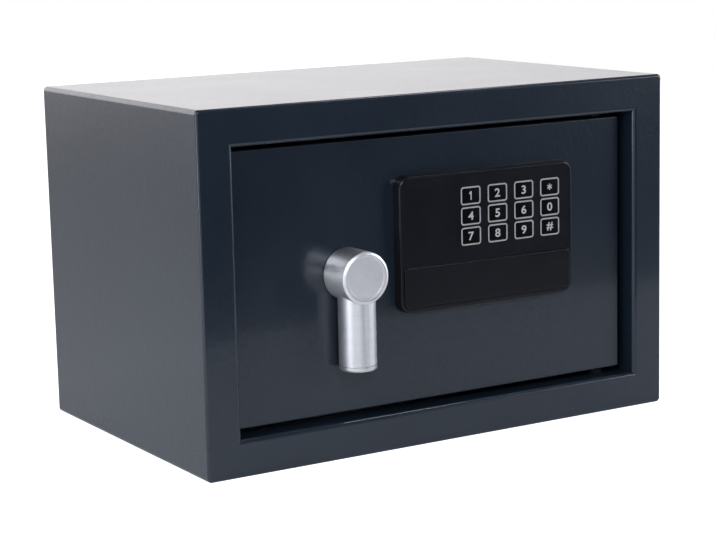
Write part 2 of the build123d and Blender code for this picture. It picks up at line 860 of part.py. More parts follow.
# emergency lock
def lock_barrel():
    front = pocket_floor - lock_flange
    barrel = rod_y(lock_x, lock_z, lock_flange_radius, front, pocket_floor)
    barrel = chamfer(front_edges(barrel), lock_flange_chamfer)
    barrel += rod_y(lock_x, lock_z, lock_body_radius, pocket_floor, lock_back)
    return barrel - rod_y(lock_x, lock_z, lock_bore_radius, front - cut_past, lock_back + cut_past)


def lock_nut():
    back = door_back + lock_nut_height
    hexagon = Pos(lock_x, lock_z) * RegularPolygon(lock_nut_across / 2, 6, major_radius=False)
    nut = plate(hexagon, door_back, back)
    bore = lock_body_radius + seat_clearance
    return nut - rod_y(lock_x, lock_z, bore, door_back - cut_past, back + cut_past)


# a plug with a ring-shaped keyway in its face and a squared tail for the cam
def lock_plug():
    front = pocket_floor - lock_flange + plug_below_flange
    cam_back = cam_front + cam_thickness
    plug = rod_y(lock_x, lock_z, lock_plug_radius, front, lock_back)
    plug += plate(Pos(lock_x, lock_z) * Rectangle(plug_tail, plug_tail), lock_back, cam_back)
    plug += rod_y(lock_x, lock_z, plug_rivet_radius, cam_back, cam_back + plug_rivet)
    keyway = disc(lock_x, lock_z, keyway_outer) - disc(lock_x, lock_z, keyway_inner)
    keyway += Pos(lock_x, lock_z + keyway_outer) * Rectangle(keyway_notch, keyway_notch)
    return plug - plate(keyway, front - cut_past, front + keyway_depth)


# the cam falls at a steady rate, so the plunger's height follows the key's angle
def lock_cam():
    fall = plunger_lift / key_turn_angle
    rim = []
    for angle in range(-cam_lead_angle, int(key_turn_angle) + cam_lead_angle + 1, cam_step_angle):
        radius = cam_high - fall * angle
        turn = math.radians(angle)
        rim.append((lock_x - radius * math.sin(turn), lock_z + radius * math.cos(turn)))
    outline = make_face([Spline(*rim), Line(rim[-1], (lock_x, lock_z)), Line((lock_x, lock_z), rim[0])])
    outline += disc(lock_x, lock_z, cam_hub_radius)
    square = plug_tail + 2 * seat_clearance
    outline -= Pos(lock_x, lock_z) * Rectangle(square, square)
    return plate(outline, cam_front, cam_front + cam_thickness)


# blocking plunger in its solenoid
def solenoid_frame():
    x = grown((plunger_x, plunger_x), solenoid_width / 2)
    back = door_back + solenoid_depth
    inside_z = grown(solenoid_z, -solenoid_sheet)
    room = block(grown(x, cut_past), (door_back + solenoid_sheet, back + cut_past), inside_z)
    bore = plunger_radius + solenoid_bore_clearance
    hole = rod_z(plunger_x, plunger_y, bore, solenoid_z[0] - cut_past, inside_z[0] + cut_past)
    return block(x, (door_back, back), solenoid_z) - room - hole


def solenoid_coil():
    coil_z = grown(solenoid_z, -solenoid_sheet)
    radius = (solenoid_depth - solenoid_sheet) / 2 - free_clearance
    coil = rod_z(plunger_x, plunger_y, radius - coil_flange_side, *coil_z)
    for low in (coil_z[0], coil_z[1] - coil_flange):
        coil += rod_z(plunger_x, plunger_y, radius, low, low + coil_flange)
    bore = plunger_radius + solenoid_bore_clearance
    return coil - rod_z(plunger_x, plunger_y, bore, coil_z[0] - cut_past, coil_z[1] + cut_past)


def plunger():
    body = rod_z(plunger_x, plunger_y, plunger_radius, plunger_tip, solenoid_z[1] - plunger_below_top)
    body = chamfer(body.edges().group_by(Axis.Z)[0], plunger_chamfer)
    low = plunger_tip + plunger_collar_up
    body += rod_z(plunger_x, plunger_y, plunger_collar_radius, low, low + plunger_collar)
    hole = lift_pin_radius + seat_clearance
    front = plunger_y - 2 * plunger_radius
    back = plunger_y + 2 * plunger_radius
    return body - rod_y(plunger_x, plunger_tip + lift_pin_up, hole, front, back)


def lift_arm():
    front = plunger_y + plunger_radius + running_clearance
    bar_z = (plunger_tip - lift_arm_drop, plunger_tip + plunger_collar_up - free_clearance)
    foot = lift_foot_radius
    foot_middle = lock_z + cam_high + cam_clearance + foot
    outline = rect((plunger_x - plunger_radius, lock_x + foot), bar_z, lift_arm_corner)
    outline += rect((lock_x - foot, lock_x + foot), (foot_middle, bar_z[1]))
    outline += disc(lock_x, foot_middle, foot)
    arm = plate(outline, front, front + lift_arm_thickness)
    pin_front = plunger_y - lift_pin_past_middle
    return arm + rod_y(plunger_x, plunger_tip + lift_pin_up, lift_pin_radius, pin_front, front)


def plunger_spring():
    low = plunger_tip + plunger_collar_up + plunger_collar + spring_wire / 2
    high = solenoid_z[0] - spring_wire / 2 - spring_end_gap
    path = Pos(plunger_x, plunger_y, low) * Helix((high - low) / spring_turns, high - low, spring_radius)
    section = Plane(origin=path @ 0, z_dir=path % 0) * RegularPolygon(spring_wire / 2, 6)
    return sweep(section, path=path)


# electronics
def door_pillars():
    pillars = Part()
    hole = pan_screw_radius + seat_clearance
    for x, z in pillar_places():
        hexagon = Pos(x, z) * RegularPolygon(pillar_radius, 6, major_radius=False)
        pillar = plate(hexagon, door_back, pan_back - pan_sheet)
        pillars += pillar - rod_y(x, z, hole, pan_back - pan_screw_grip - screw_tip_room, pan_back)
    for x, z in circuit_corners():
        hexagon = Pos(x, z) * RegularPolygon(circuit_post_across / 2, 6, major_radius=False)
        pillars += plate(hexagon, door_back, circuit_y)
    return pillars


def control_board():
    board = plate(rect(circuit_x, circuit_z, circuit_corner), circuit_y, circuit_y + board_thickness)

    def on_board(x, z, width, height, depth):
        spans = (grown((x, x), width / 2), grown((z, z), height / 2))
        return block(spans[0], (circuit_y - depth, circuit_y), spans[1])

    board += on_board(ribbon_x, ribbon_socket_top - ribbon_socket_height / 2,
                      ribbon_socket_width, ribbon_socket_height, ribbon_socket_depth)
    board += on_board(battery_leads_x, circuit_z[0] + lead_socket_inset + lead_socket_height / 2,
                      lead_socket_width, lead_socket_height, lead_socket_depth)
    board += on_board(circuit_x[0] + coil_socket_inset + coil_socket_width / 2, coil_leads_z,
                      coil_socket_width, coil_socket_height, lead_socket_depth)
    board += on_board(circuit_middle_x - chip_left_of_middle, circuit_middle_z - chip_below_middle,
                      chip_width, chip_height, chip_depth)
    buzzer_x = circuit_middle_x + buzzer_from_middle
    buzzer_z = circuit_middle_z - buzzer_from_middle
    board += rod_y(buzzer_x, buzzer_z, buzzer_radius, circuit_y - buzzer_depth, circuit_y)
    switch_x = grown((reset_x, reset_x), switch_width / 2)
    switch_z = grown((reset_z, reset_z), switch_width / 2)
    switch_back = reset_foot_back - reset_travel - loose_clearance
    return board + block(switch_x, (circuit_y, switch_back), switch_z)


# red button that starts a code change; its foot meets the switch on the board
def reset_button():
    flange_back = pan_back - pan_sheet - reset_skin_gap
    flange_front = flange_back - reset_flange
    cap = rod_y(reset_x, reset_z, reset_radius, flange_back, pan_back + reset_proud)
    cap = chamfer(back_edges(cap), reset_chamfer)
    cap += rod_y(reset_x, reset_z, reset_radius + reset_flange_side, flange_front, flange_back)
    return cap + rod_y(reset_x, reset_z, reset_foot_radius, reset_foot_back, flange_front)


def keypad_ribbon():
    end_y = circuit_y - ribbon_socket_depth
    low_z = ribbon_z - ribbon_drop
    route = FilletPolyline((board_back, ribbon_z), (door_back + ribbon_straight, ribbon_z),
                           (end_y - ribbon_straight, low_z), (end_y, low_z), radius=ribbon_bend)
    band = trace(route, ribbon_thickness)
    side_view = Plane(origin=(ribbon_x - ribbon_width / 2, 0, 0), x_dir=(0, 1, 0), z_dir=(1, 0, 0))
    return extrude(side_view * band, amount=ribbon_width)


# two wires up from the battery box and two from the coil to the board
def internal_leads():
    leads = Part()
    for side in (-0.5, 0.5):
        x = battery_leads_x + side * lead_spacing_battery
        leads += rod_z(x, lead_y, lead_radius, battery_z[1], circuit_z[0] + lead_socket_inset)
        level = coil_leads_z + side * lead_spacing_coil
        end = circuit_x[0] + coil_socket_inset
        leads += rod_x(lead_y, level, lead_radius, plunger_x + plunger_radius, end)
    return leads


# battery compartment, open towards the inside of the safe
cell_pitch = 2 * cell_radius + cell_side_gap
battery_width = cell_count * cell_pitch + loose_clearance + 2 * battery_wall
battery_height = cell_length + 2 * cell_end_gap + 2 * battery_wall
battery_centre_x = circuit_middle_x + battery_right_of_circuit
battery_x = grown((battery_centre_x, battery_centre_x), battery_width / 2)
battery_z = (pan_z[0] + battery_from_pan_bottom, pan_z[0] + battery_from_pan_bottom + battery_height)
battery_back = pan_back - pan_sheet
battery_front = battery_back - cell_above_gap - 2 * cell_radius - cell_floor_gap - battery_wall
cell_y = battery_front + battery_wall + cell_floor_gap + cell_radius
window_x = grown(battery_x, -battery_wall)
window_z = grown(battery_z, -battery_wall)


def window():
    return rect(window_x, window_z, inside_corner)


def battery_box():
    box = plate(rect(battery_x, battery_z, battery_corner), battery_front, battery_back)
    corner = battery_corner + battery_flange
    flange = rect(grown(battery_x, battery_flange), grown(battery_z, battery_flange), corner)
    box += plate(flange, battery_back - battery_flange_thickness, battery_back)
    return box - plate(window(), battery_front + battery_wall, battery_back + cut_past)


def cell_places():
    first = battery_centre_x - (cell_count - 1) / 2 * cell_pitch
    return [first + index * cell_pitch for index in range(cell_count)]


def battery_cells():
    cells = Part()
    low = window_z[0] + cell_end_gap
    for index, x in enumerate(cell_places()):
        upright = index % 2 == 0
        body_low = low if upright else low + cell_nub
        nub_low = low + cell_length - cell_nub if upright else low
        cell = rod_z(x, cell_y, cell_radius, body_low, body_low + cell_length - cell_nub)
        cells += cell + rod_z(x, cell_y, cell_nub_radius, nub_low, nub_low + cell_nub)
    return cells


def battery_contacts():
    contacts = Part()
    depth = grown((cell_y, cell_y), contact_depth / 2)
    for x in cell_places():
        span = grown((x, x), contact_width / 2)
        contacts += block(span, depth, (window_z[0], window_z[0] + contact_thickness))
        contacts += block(span, depth, (window_z[1] - contact_thickness, window_z[1]))
    return contacts


def battery_cover():
    back = pan_back + window_lip
    lip = rect(grown(window_x, window_lip_side), grown(window_z, window_lip_side), window_lip_side)
    cover = plate(lip, pan_back, back)
    cover = chamfer(back_edges(cover), window_lip / 2)
    x = grown(window_x, -free_clearance)
    z = grown(window_z, -free_clearance)
    tongue = rect(x, z, lid_tongue) - rect(grown(x, -lid_tongue), grown(z, -lid_tongue))
    cover += plate(tongue, pan_back - pan_sheet - free_clearance, pan_back)
    groove_x = grown((battery_centre_x, battery_centre_x), lid_grip_width / 2)
    for step in range(lid_grip_count):
        level = window_z[1] - lid_grip_from_top - step * lid_grip_pitch
        groove_z = grown((level, level), lid_grip_cut / 2)
        cover -= block(groove_x, (back - lid_grip_depth, back + cut_past), groove_z)
    return cover


# folded pan that closes the back of the door
def inner_cover():
    pan = plate(rect(pan_x, pan_z, pan_corner), door_back, pan_back)
    pan = fillet(back_edges(pan), pan_fold)
    room = rect(grown(pan_x, -pan_sheet), grown(pan_z, -pan_sheet), pan_corner - pan_sheet)
    pan -= plate(room, door_back - cut_past, pan_back - pan_sheet)
    cut = pan_back - 2 * pan_sheet
    pan -= plate(window(), cut, pan_back + cut_past)
    pan -= rod_y(reset_x, reset_z, reset_radius + free_clearance, cut, pan_back + cut_past)
    for x, z in pillar_places():
        pan -= rod_y(x, z, pan_screw_radius + loose_clearance, cut, pan_back + cut_past)
    hole_radius = bolt_radius + bolt_hole_clearance
    for level in bolt_levels:
        pan -= rod_x(bolt_y, level, hole_radius, pan_x[0] - cut_past, pan_x[0] + 2 * pan_sheet)
    return pan


def cover_screws():
    screws = Part()
    for x, z in pillar_places():
        head = rod_y(x, z, pan_screw_head, pan_back, pan_back + pan_screw_head_height)
        head = chamfer(back_edges(head), pan_screw_chamfer)
        screws += head + rod_y(x, z, pan_screw_radius, pan_back - pan_screw_grip, pan_back)
    return screws


pieces = (body_shell, back_panel, front_frame, bolt_keeper, hinge_brackets, hinge_washer, floor_mat,
          door_plate, hinge_tabs, hinge_pins, handle_casting, handle_face_cap, handle_screw, handle_spindle,
          spindle_bush, crank_arm, bolt_carriage, locking_bolts, bolt_screws, guide_studs, bolt_guide_bracket,
          keypad_housing, keypad_overlay, dome_sheet, keypad_board, housing_screws, key_cover,
          lock_barrel, lock_nut, lock_plug, lock_cam, solenoid_frame, solenoid_coil, plunger, lift_arm,
          plunger_spring, door_pillars, control_board, reset_button, keypad_ribbon, internal_leads,
          battery_box, battery_cells, battery_contacts, battery_cover, inner_cover, cover_screws)

os.makedirs("parts", exist_ok=True)
for piece in pieces:
    export_step(piece(), f"parts/{piece.__name__}.step")
for name, place in key_places().items():
    export_step(keypad_key(*place), f"parts/key_{name}.step")
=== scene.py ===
import json
import math

import bmesh
import bpy
from mathutils import Matrix, Vector


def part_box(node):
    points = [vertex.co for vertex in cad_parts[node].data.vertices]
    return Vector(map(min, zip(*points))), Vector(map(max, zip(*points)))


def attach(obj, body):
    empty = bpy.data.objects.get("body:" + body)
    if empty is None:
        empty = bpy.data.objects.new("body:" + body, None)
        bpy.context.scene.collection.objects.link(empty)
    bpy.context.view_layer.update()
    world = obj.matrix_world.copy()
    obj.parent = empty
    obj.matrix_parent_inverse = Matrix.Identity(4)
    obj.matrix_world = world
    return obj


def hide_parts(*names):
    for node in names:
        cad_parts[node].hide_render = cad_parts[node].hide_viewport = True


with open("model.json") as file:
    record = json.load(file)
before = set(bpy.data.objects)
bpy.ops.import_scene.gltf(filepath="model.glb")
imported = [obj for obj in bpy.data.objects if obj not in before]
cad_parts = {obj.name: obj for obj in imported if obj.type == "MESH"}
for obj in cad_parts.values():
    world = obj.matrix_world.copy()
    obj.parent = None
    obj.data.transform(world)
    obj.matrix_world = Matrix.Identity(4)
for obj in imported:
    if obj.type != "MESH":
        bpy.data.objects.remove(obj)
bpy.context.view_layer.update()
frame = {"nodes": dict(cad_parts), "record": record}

# Electronic safe, in metres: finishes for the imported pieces, and finer pieces where the eye goes

scene = bpy.context.scene
scene.view_settings.view_transform = "Standard"
mm = 0.001
mergeGap = 0.001 * mm  # points closer than this become one
backwards = Vector((0, 1, 0))  # the safe's front faces the other way
upwards = Vector((0, 0, 1))


# one shader socket that can stand in a sum
class Wire:
    def __init__(self, finish, socket):
        self.finish = finish
        self.socket = socket

    # another output of the same node
    def other(self, output):
        return Wire(self.finish, self.socket.node.outputs[output])

    def maths(self, operation, first, second):
        return self.finish.add("ShaderNodeMath", {"operation": operation}, {0: first, 1: second})

    def __add__(self, other):
        return self.maths("ADD", self, other)

    def __radd__(self, other):
        return self.maths("ADD", other, self)

    def __sub__(self, other):
        return self.maths("SUBTRACT", self, other)

    def __rsub__(self, other):
        return self.maths("SUBTRACT", other, self)

    def __mul__(self, other):
        return self.maths("MULTIPLY", self, other)

    def __rmul__(self, other):
        return self.maths("MULTIPLY", other, self)

    def __pow__(self, other):
        return self.maths("POWER", self, other)

    # a pattern that runs from 0 to 1, as a change of this width about its middle
    def swing(self, width):
        return (self - 0.5) * width

    def mixed(self, other, share):
        return self * share + other * (1 - share)


# a material in the making
class Finish:
    def __init__(self, name, owner=None):
        self.material = owner or bpy.data.materials.new(name)
        self.material.use_nodes = True
        self.tree = self.material.node_tree
        self.tree.nodes.clear()

    def add(self, kind, settings=None, sockets=None, output=0):
        node = self.tree.nodes.new(kind)
        for key, value in (settings or {}).items():
            setattr(node, key, value)
        for key, value in (sockets or {}).items():
            if isinstance(value, Wire):
                self.tree.links.new(value.socket, node.inputs[key])
            else:
                node.inputs[key].default_value = value
        return Wire(self, node.outputs[output]) if node.outputs else None

    def place(self, scale=(1, 1, 1), shift=(0, 0, 0)):
        where = self.add("ShaderNodeTexCoord", output="Object")
        return self.add("ShaderNodeMapping", {}, {"Vector": where, "Scale": scale, "Location": shift})

    def noise(self, size, detail, stretch=(1, 1, 1), rough=0.5):
        sockets = {"Vector": self.place(stretch), "Scale": 1 / size, "Detail": detail, "Roughness": rough}
        return self.add("ShaderNodeTexNoise", {}, sockets)

    def spots(self, size, randomness=1.0):
        sockets = {"Vector": self.place(), "Scale": 1 / size, "Randomness": randomness}
        return self.add("ShaderNodeTexVoronoi", {}, sockets, output="Distance")

    def span(self, value, low, high):
        sockets = {"Value": value, "From Min": low, "From Max": high}
        return self.add("ShaderNodeMapRange", {"clamp": True}, sockets)

    def blend(self, share, first, second):
        sockets = {0: share, 6: first, 7: second}
        return self.add("ShaderNodeMix", {"data_type": "RGBA"}, sockets, output=2)

    def bump(self, height, depth):
        return self.add("ShaderNodeBump", {}, {"Height": height, "Distance": depth})

    def shine(self, **sockets):
        names = {name.replace("_", " "): value for name, value in sockets.items()}
        shader = self.add("ShaderNodeBsdfPrincipled", {}, names)
        self.add("ShaderNodeOutputMaterial", {}, {"Surface": shader})
        return self.material


def rgb(red, green, blue):
    return (red, green, blue, 1.0)


# a finish's own values over the ones that its kind shares
def ownLook(looks, name):
    return {**looks["common"], **looks[name]}


# powder coat: a dark blue-grey skin with the fine orange peel of a sprayed finish
powderCoats = {
    "common": {
        "colourGrain": 0.4,
        "colourRange": (0.45, 0.95),
        "roughness": 0.30,
        "roughnessCloud": 0.08,
        "roughnessGrain": 0.10,
        "ior": 1.5,
        "coat": 0.45,
        "coatSwing": 0.36,
        "coatRange": (0.40, 0.62),
        "coatSpotSize": 1.1 * mm,
        "coatRoughness": 0.09,
        "cloudSize": 55 * mm,
        "peelSize": 2.2 * mm,
        "rippleSize": 8.0 * mm,
        "grainSize": 0.45 * mm,
        "reliefPeel": 0.8,
        "reliefRipple": 0.8,
        "reliefGrain": 0.25,
        "reliefDepth": 0.090 * mm,
    },
    "bodyPowder": {"dark": rgb(0.0085, 0.0145, 0.0235), "light": rgb(0.0100, 0.0170, 0.0275)},
    "doorPowder": {"dark": rgb(0.0085, 0.0140, 0.0225), "light": rgb(0.0100, 0.0165, 0.0265)},
    "panPowder": {"dark": rgb(0.016, 0.019, 0.024), "light": rgb(0.022, 0.026, 0.032), "roughness": 0.5},
}


def powderPaint(name):
    look = ownLook(powderCoats, name)
    paint = Finish(name)
    peel = paint.noise(look["peelSize"], detail=1.0)
    ripple = paint.noise(look["rippleSize"], detail=1.0)
    grain = paint.noise(look["grainSize"], detail=2.0)
    cloud = paint.noise(look["cloudSize"], detail=3.0)
    spots = paint.noise(look["coatSpotSize"], detail=2.0)
    tone = paint.span(cloud + grain * look["colourGrain"], *look["colourRange"])
    shine = look["roughness"] + cloud.swing(look["roughnessCloud"]) + grain.swing(look["roughnessGrain"])
    height = peel * look["reliefPeel"] + grain * look["reliefGrain"] + ripple * look["reliefRipple"]
    coat = look["coat"] + paint.span(spots, *look["coatRange"]).swing(look["coatSwing"])
    return paint.shine(Base_Color=paint.blend(tone, look["dark"], look["light"]), Roughness=shine,
                       Normal=paint.bump(height, look["reliefDepth"]), IOR=look["ior"], Coat_Weight=coat,
                       Coat_Roughness=look["coatRoughness"])


# turned metal: rings left by the lathe run round the given axis
turnedMetals = {
    "common": {
        "pale": rgb(0.89, 0.874, 0.87),
        "deep": rgb(0.77, 0.759, 0.763),
        "colourRings": 0.6,
        "colourRange": (0.3, 0.7),
        "roughnessRings": 0.16,
        "roughnessCloud": 0.08,
        "ringSize": 0.35 * mm,
        "ringStretch": 0.02,  # how fast a ring changes along its length, beside across it
        "ringDepth": 0.012 * mm,
        "cloudSize": 6 * mm,
        "grainSize": 0.25 * mm,
        "reliefGrain": 0.15,
    },
    "knobMetal": {"axis": "y", "roughness": 0.37},
    "gripMetal": {"axis": "z", "roughness": 0.43, "ringDepth": 0.005 * mm},
    "rimMetal": {"axis": "y", "roughness": 0.42, "ringDepth": 0.003 * mm,
                 "pale": rgb(1.00, 0.99, 0.98), "deep": rgb(0.97, 0.955, 0.955)},
    "boltChrome": {"axis": "x", "roughness": 0.14, "ringDepth": 0.004 * mm,
                   "pale": rgb(0.80, 0.80, 0.82), "deep": rgb(0.70, 0.70, 0.72)},
    "lockChrome": {"axis": "y", "roughness": 0.20, "ringDepth": 0.004 * mm,
                   "pale": rgb(0.72, 0.72, 0.74), "deep": rgb(0.60, 0.60, 0.62)},
    "bushBrass": {"axis": "y", "roughness": 0.28,
                  "pale": rgb(0.72, 0.52, 0.22), "deep": rgb(0.55, 0.38, 0.15)},
}


def turnedMetal(name):
    look = ownLook(turnedMetals, name)
    metal = Finish(name)
    stretch = [1.0 if axis == look["axis"] else look["ringStretch"] for axis in "xyz"]
    rings = metal.noise(look["ringSize"], 3.0, stretch, rough=0.6)
    cloud = metal.noise(look["cloudSize"], detail=3.0)
    grain = metal.noise(look["grainSize"], detail=2.0)
    tone = metal.span(rings.mixed(cloud, look["colourRings"]), *look["colourRange"])
    shine = look["roughness"] + rings.swing(look["roughnessRings"]) + cloud.swing(look["roughnessCloud"])
    height = rings + grain * look["reliefGrain"]
    return metal.shine(Base_Color=metal.blend(tone, look["deep"], look["pale"]), Metallic=1.0,
                       Roughness=shine, Normal=metal.bump(height, look["ringDepth"]))


# the knob's face cap: faint rings round its centre
capMetal = {
    "pale": rgb(0.77, 0.754, 0.752),
    "deep": rgb(0.67, 0.655, 0.665),
    "colourRings": 0.5,
    "colourRange": (0.3, 0.7),
    "roughness": 0.58,
    "roughnessRings": 0.08,
    "roughnessGrain": 0.08,
    "ringSize": 0.5 * mm,
    "cloudSize": 7 * mm,
    "grainSize": 0.3 * mm,
    "reliefRings": 0.7,
    "reliefDepth": 0.004 * mm,
}


def spunMetal(name, centre, look=capMetal):
    metal = Finish(name)
    where = metal.place(shift=(-centre.x, 0, -centre.z))
    across = metal.add("ShaderNodeSeparateXYZ", {}, {0: where})
    along = across.other("Z")
    distance = (across * across + along * along) ** 0.5
    sockets = {"W": distance, "Scale": 1 / look["ringSize"], "Detail": 3.0}
    rings = metal.add("ShaderNodeTexNoise", {"noise_dimensions": "1D"}, sockets)
    cloud = metal.noise(look["cloudSize"], detail=2.0)
    grain = metal.noise(look["grainSize"], detail=2.0)
    tone = metal.span(rings.mixed(cloud, look["colourRings"]), *look["colourRange"])
    shine = look["roughness"] + rings.swing(look["roughnessRings"]) + grain.swing(look["roughnessGrain"])
    height = rings.mixed(grain, look["reliefRings"])
    return metal.shine(Base_Color=metal.blend(tone, look["deep"], look["pale"]), Metallic=1.0,
                       Roughness=shine, Normal=metal.bump(height, look["reliefDepth"]))


# plated and blackened steel: patches of crystal under a fine grain
platedSteels = {
    "common": {
        "colourPatches": 0.5,
        "colourCloud": 0.6,
        "colourRange": (0.2, 0.8),
        "roughnessCloud": 0.18,
        "roughnessGrain": 0.12,
        "patchSize": 3 * mm,
        "cloudSize": 12 * mm,
        "grainSize": 0.4 * mm,
        "grainDepth": 0.01 * mm,
    },
    "zincSteel": {"pale": rgb(0.62, 0.63, 0.62), "deep": rgb(0.44, 0.45, 0.46), "roughness": 0.34},
    "blackSteel": {"pale": rgb(0.045, 0.045, 0.05), "deep": rgb(0.022, 0.022, 0.025), "roughness": 0.4},
}


def platedMetal(name):
    look = ownLook(platedSteels, name)
    metal = Finish(name)
    patches = metal.spots(look["patchSize"])
    grain = metal.noise(look["grainSize"], detail=3.0)
    cloud = metal.noise(look["cloudSize"], detail=3.0)
    tone = metal.span(patches * look["colourPatches"] + cloud * look["colourCloud"], *look["colourRange"])
    shine = look["roughness"] + cloud.swing(look["roughnessCloud"]) + grain.swing(look["roughnessGrain"])
    return metal.shine(Base_Color=metal.blend(tone, look["deep"], look["pale"]), Metallic=1.0,
                       Roughness=shine, Normal=metal.bump(grain, look["grainDepth"]))


# moulded plastics, films and rubber: a fine mould grain under soft clouds
plastics = {
    "common": {
        "colourGrain": 0.3,
        "colourRange": (0.4, 0.9),
        "roughnessGrain": 0.14,
        "roughnessCloud": 0.10,
        "coat": 0.0,
        "glint": 0.3,
        "cloudSize": 16 * mm,
        "grainSize": 0.35 * mm,
        "grainDepth": 0.012 * mm,
    },
    "housingPlastic": {"dark": rgb(0.0062, 0.0062, 0.0082), "light": rgb(0.0082, 0.0082, 0.0105),
                       "roughness": 0.32, "coat": 0.15, "glint": 0.22},
    "overlayFilm": {"dark": rgb(0.0030, 0.0034, 0.0062), "light": rgb(0.0045, 0.0050, 0.0085),
                    "roughness": 0.36, "glint": 0.22, "grainSize": 0.8 * mm, "grainDepth": 0.006 * mm},
    "keyRubber": {"dark": rgb(0.0010, 0.0011, 0.0015), "light": rgb(0.0015, 0.0016, 0.0021),
                  "roughness": 0.44, "glint": 0.07},
    "domeFilm": {"dark": rgb(0.30, 0.30, 0.27), "light": rgb(0.38, 0.38, 0.34), "roughness": 0.25},
    "cellWrap": {"dark": rgb(0.010, 0.045, 0.028), "light": rgb(0.016, 0.070, 0.042),
                 "roughness": 0.25, "coat": 0.4, "grainSize": 2 * mm, "grainDepth": 0.01 * mm},
    "trayPlastic": {"dark": rgb(0.012, 0.012, 0.014), "light": rgb(0.020, 0.020, 0.023),
                    "roughness": 0.5},
    "buttonRed": {"dark": rgb(0.42, 0.012, 0.010), "light": rgb(0.55, 0.020, 0.016),
                  "roughness": 0.3, "coat": 0.3},
    "leadPlastic": {"dark": rgb(0.30, 0.010, 0.010), "light": rgb(0.42, 0.018, 0.016), "roughness": 0.4},
    "ribbonGrey": {"dark": rgb(0.24, 0.24, 0.26), "light": rgb(0.34, 0.34, 0.36), "roughness": 0.45},
}


def mouldedPlastic(name):
    look = ownLook(plastics, name)
    plastic = Finish(name)
    grain = plastic.noise(look["grainSize"], detail=2.0)
    cloud = plastic.noise(look["cloudSize"], detail=3.0)
    tone = plastic.span(cloud + grain * look["colourGrain"], *look["colourRange"])
    shine = look["roughness"] + grain.swing(look["roughnessGrain"]) + cloud.swing(look["roughnessCloud"])
    return plastic.shine(Base_Color=plastic.blend(tone, look["dark"], look["light"]), Roughness=shine,
                         Normal=plastic.bump(grain, look["grainDepth"]), Coat_Weight=look["coat"],
                         Specular_IOR_Level=look["glint"])


# needled felt: fibres that cross each other
matFelt = {
    "dark": rgb(0.018, 0.018, 0.020),
    "light": rgb(0.050, 0.050, 0.054),
    "colourFibres": 0.7,
    "colourRange": (0.35, 0.65),
    "roughness": 0.95,
    "roughnessFibres": 0.1,
    "sheen": 0.5,
    "sheenRoughness": 0.5,
    "fibreSize": 0.5 * mm,
    "fibreStretch": 0.35,
    "fibreDepth": 0.35 * mm,
    "cloudSize": 18 * mm,
}


def feltCloth(name, look=matFelt):
    felt = Finish(name)
    stretch = look["fibreStretch"]
    fibres = felt.noise(look["fibreSize"], 4.0, (1.0, stretch, 1.0), rough=0.7)
    crossed = felt.noise(look["fibreSize"], 4.0, (stretch, 1.0, 1.0), rough=0.7)
    cloud = felt.noise(look["cloudSize"], detail=3.0)
    height = fibres.mixed(crossed, 0.5)
    tone = felt.span(height.mixed(cloud, look["colourFibres"]), *look["colourRange"])
    return felt.shine(Base_Color=felt.blend(tone, look["dark"], look["light"]),
                      Roughness=look["roughness"] - height * look["roughnessFibres"],
                      Normal=felt.bump(height, look["fibreDepth"]), Sheen_Weight=look["sheen"],
                      Sheen_Roughness=look["sheenRoughness"])


# the keys' print
inks = {
    "common": {
        "colourGrain": 0.5,
        "colourRange": (0.3, 0.7),
        "roughness": 0.5,
        "roughnessGrain": 0.2,
        "cloudSize": 4 * mm,
        "grainSize": 0.25 * mm,
        "grainDepth": 0.01 * mm,
    },
    "borderInk": {"pale": rgb(0.43, 0.405, 0.40), "deep": rgb(0.33, 0.315, 0.31)},
    "digitInk": {"pale": rgb(0.55, 0.515, 0.50), "deep": rgb(0.44, 0.412, 0.40)},
}


def printedInk(name):
    look = ownLook(inks, name)
    ink = Finish(name)
    grain = ink.noise(look["grainSize"], detail=2.0)
    cloud = ink.noise(look["cloudSize"], detail=2.0)
    tone = ink.span(grain.mixed(cloud, look["colourGrain"]), *look["colourRange"])
    return ink.shine(Base_Color=ink.blend(tone, look["deep"], look["pale"]),
                     Roughness=look["roughness"] + grain.swing(look["roughnessGrain"]),
                     Normal=ink.bump(grain, look["grainDepth"]))


# circuit board: copper tracks under green lacquer
boardGreen = {
    "lacquer": rgb(0.012, 0.085, 0.040),
    "tracks": rgb(0.020, 0.140, 0.060),
    "trackSize": 2.2 * mm,
    "trackRandomness": 0.6,
    "trackRange": (0.42, 0.5),
    "roughness": 0.35,
    "roughnessGrain": 0.2,
    "coat": 0.3,
    "grainSize": 0.4 * mm,
    "reliefTracks": 0.5,
    "reliefGrain": 0.2,
    "reliefDepth": 0.03 * mm,
}


def circuitBoard(name, look=boardGreen):
    board = Finish(name)
    spots = board.spots(look["trackSize"], look["trackRandomness"])
    tracks = board.span(spots, *look["trackRange"])
    grain = board.noise(look["grainSize"], detail=2.0)
    height = tracks * look["reliefTracks"] + grain * look["reliefGrain"]
    return board.shine(Base_Color=board.blend(tracks, look["lacquer"], look["tracks"]),
                       Roughness=look["roughness"] + grain.swing(look["roughnessGrain"]),
                       Normal=board.bump(height, look["reliefDepth"]), Coat_Weight=look["coat"])


# solenoid coil: turns of enamelled wire under tape
coilWire = {
    "pale": rgb(0.42, 0.15, 0.05),
    "deep": rgb(0.20, 0.055, 0.018),
    "colourTurns": 0.7,
    "roughness": 0.35,
    "roughnessCloud": 0.2,
    "metallic": 0.6,
    "turnSize": 1.4 * mm,
    "turnWander": 0.4,
    "turnDepth": 0.08 * mm,
    "cloudSize": 5 * mm,
}


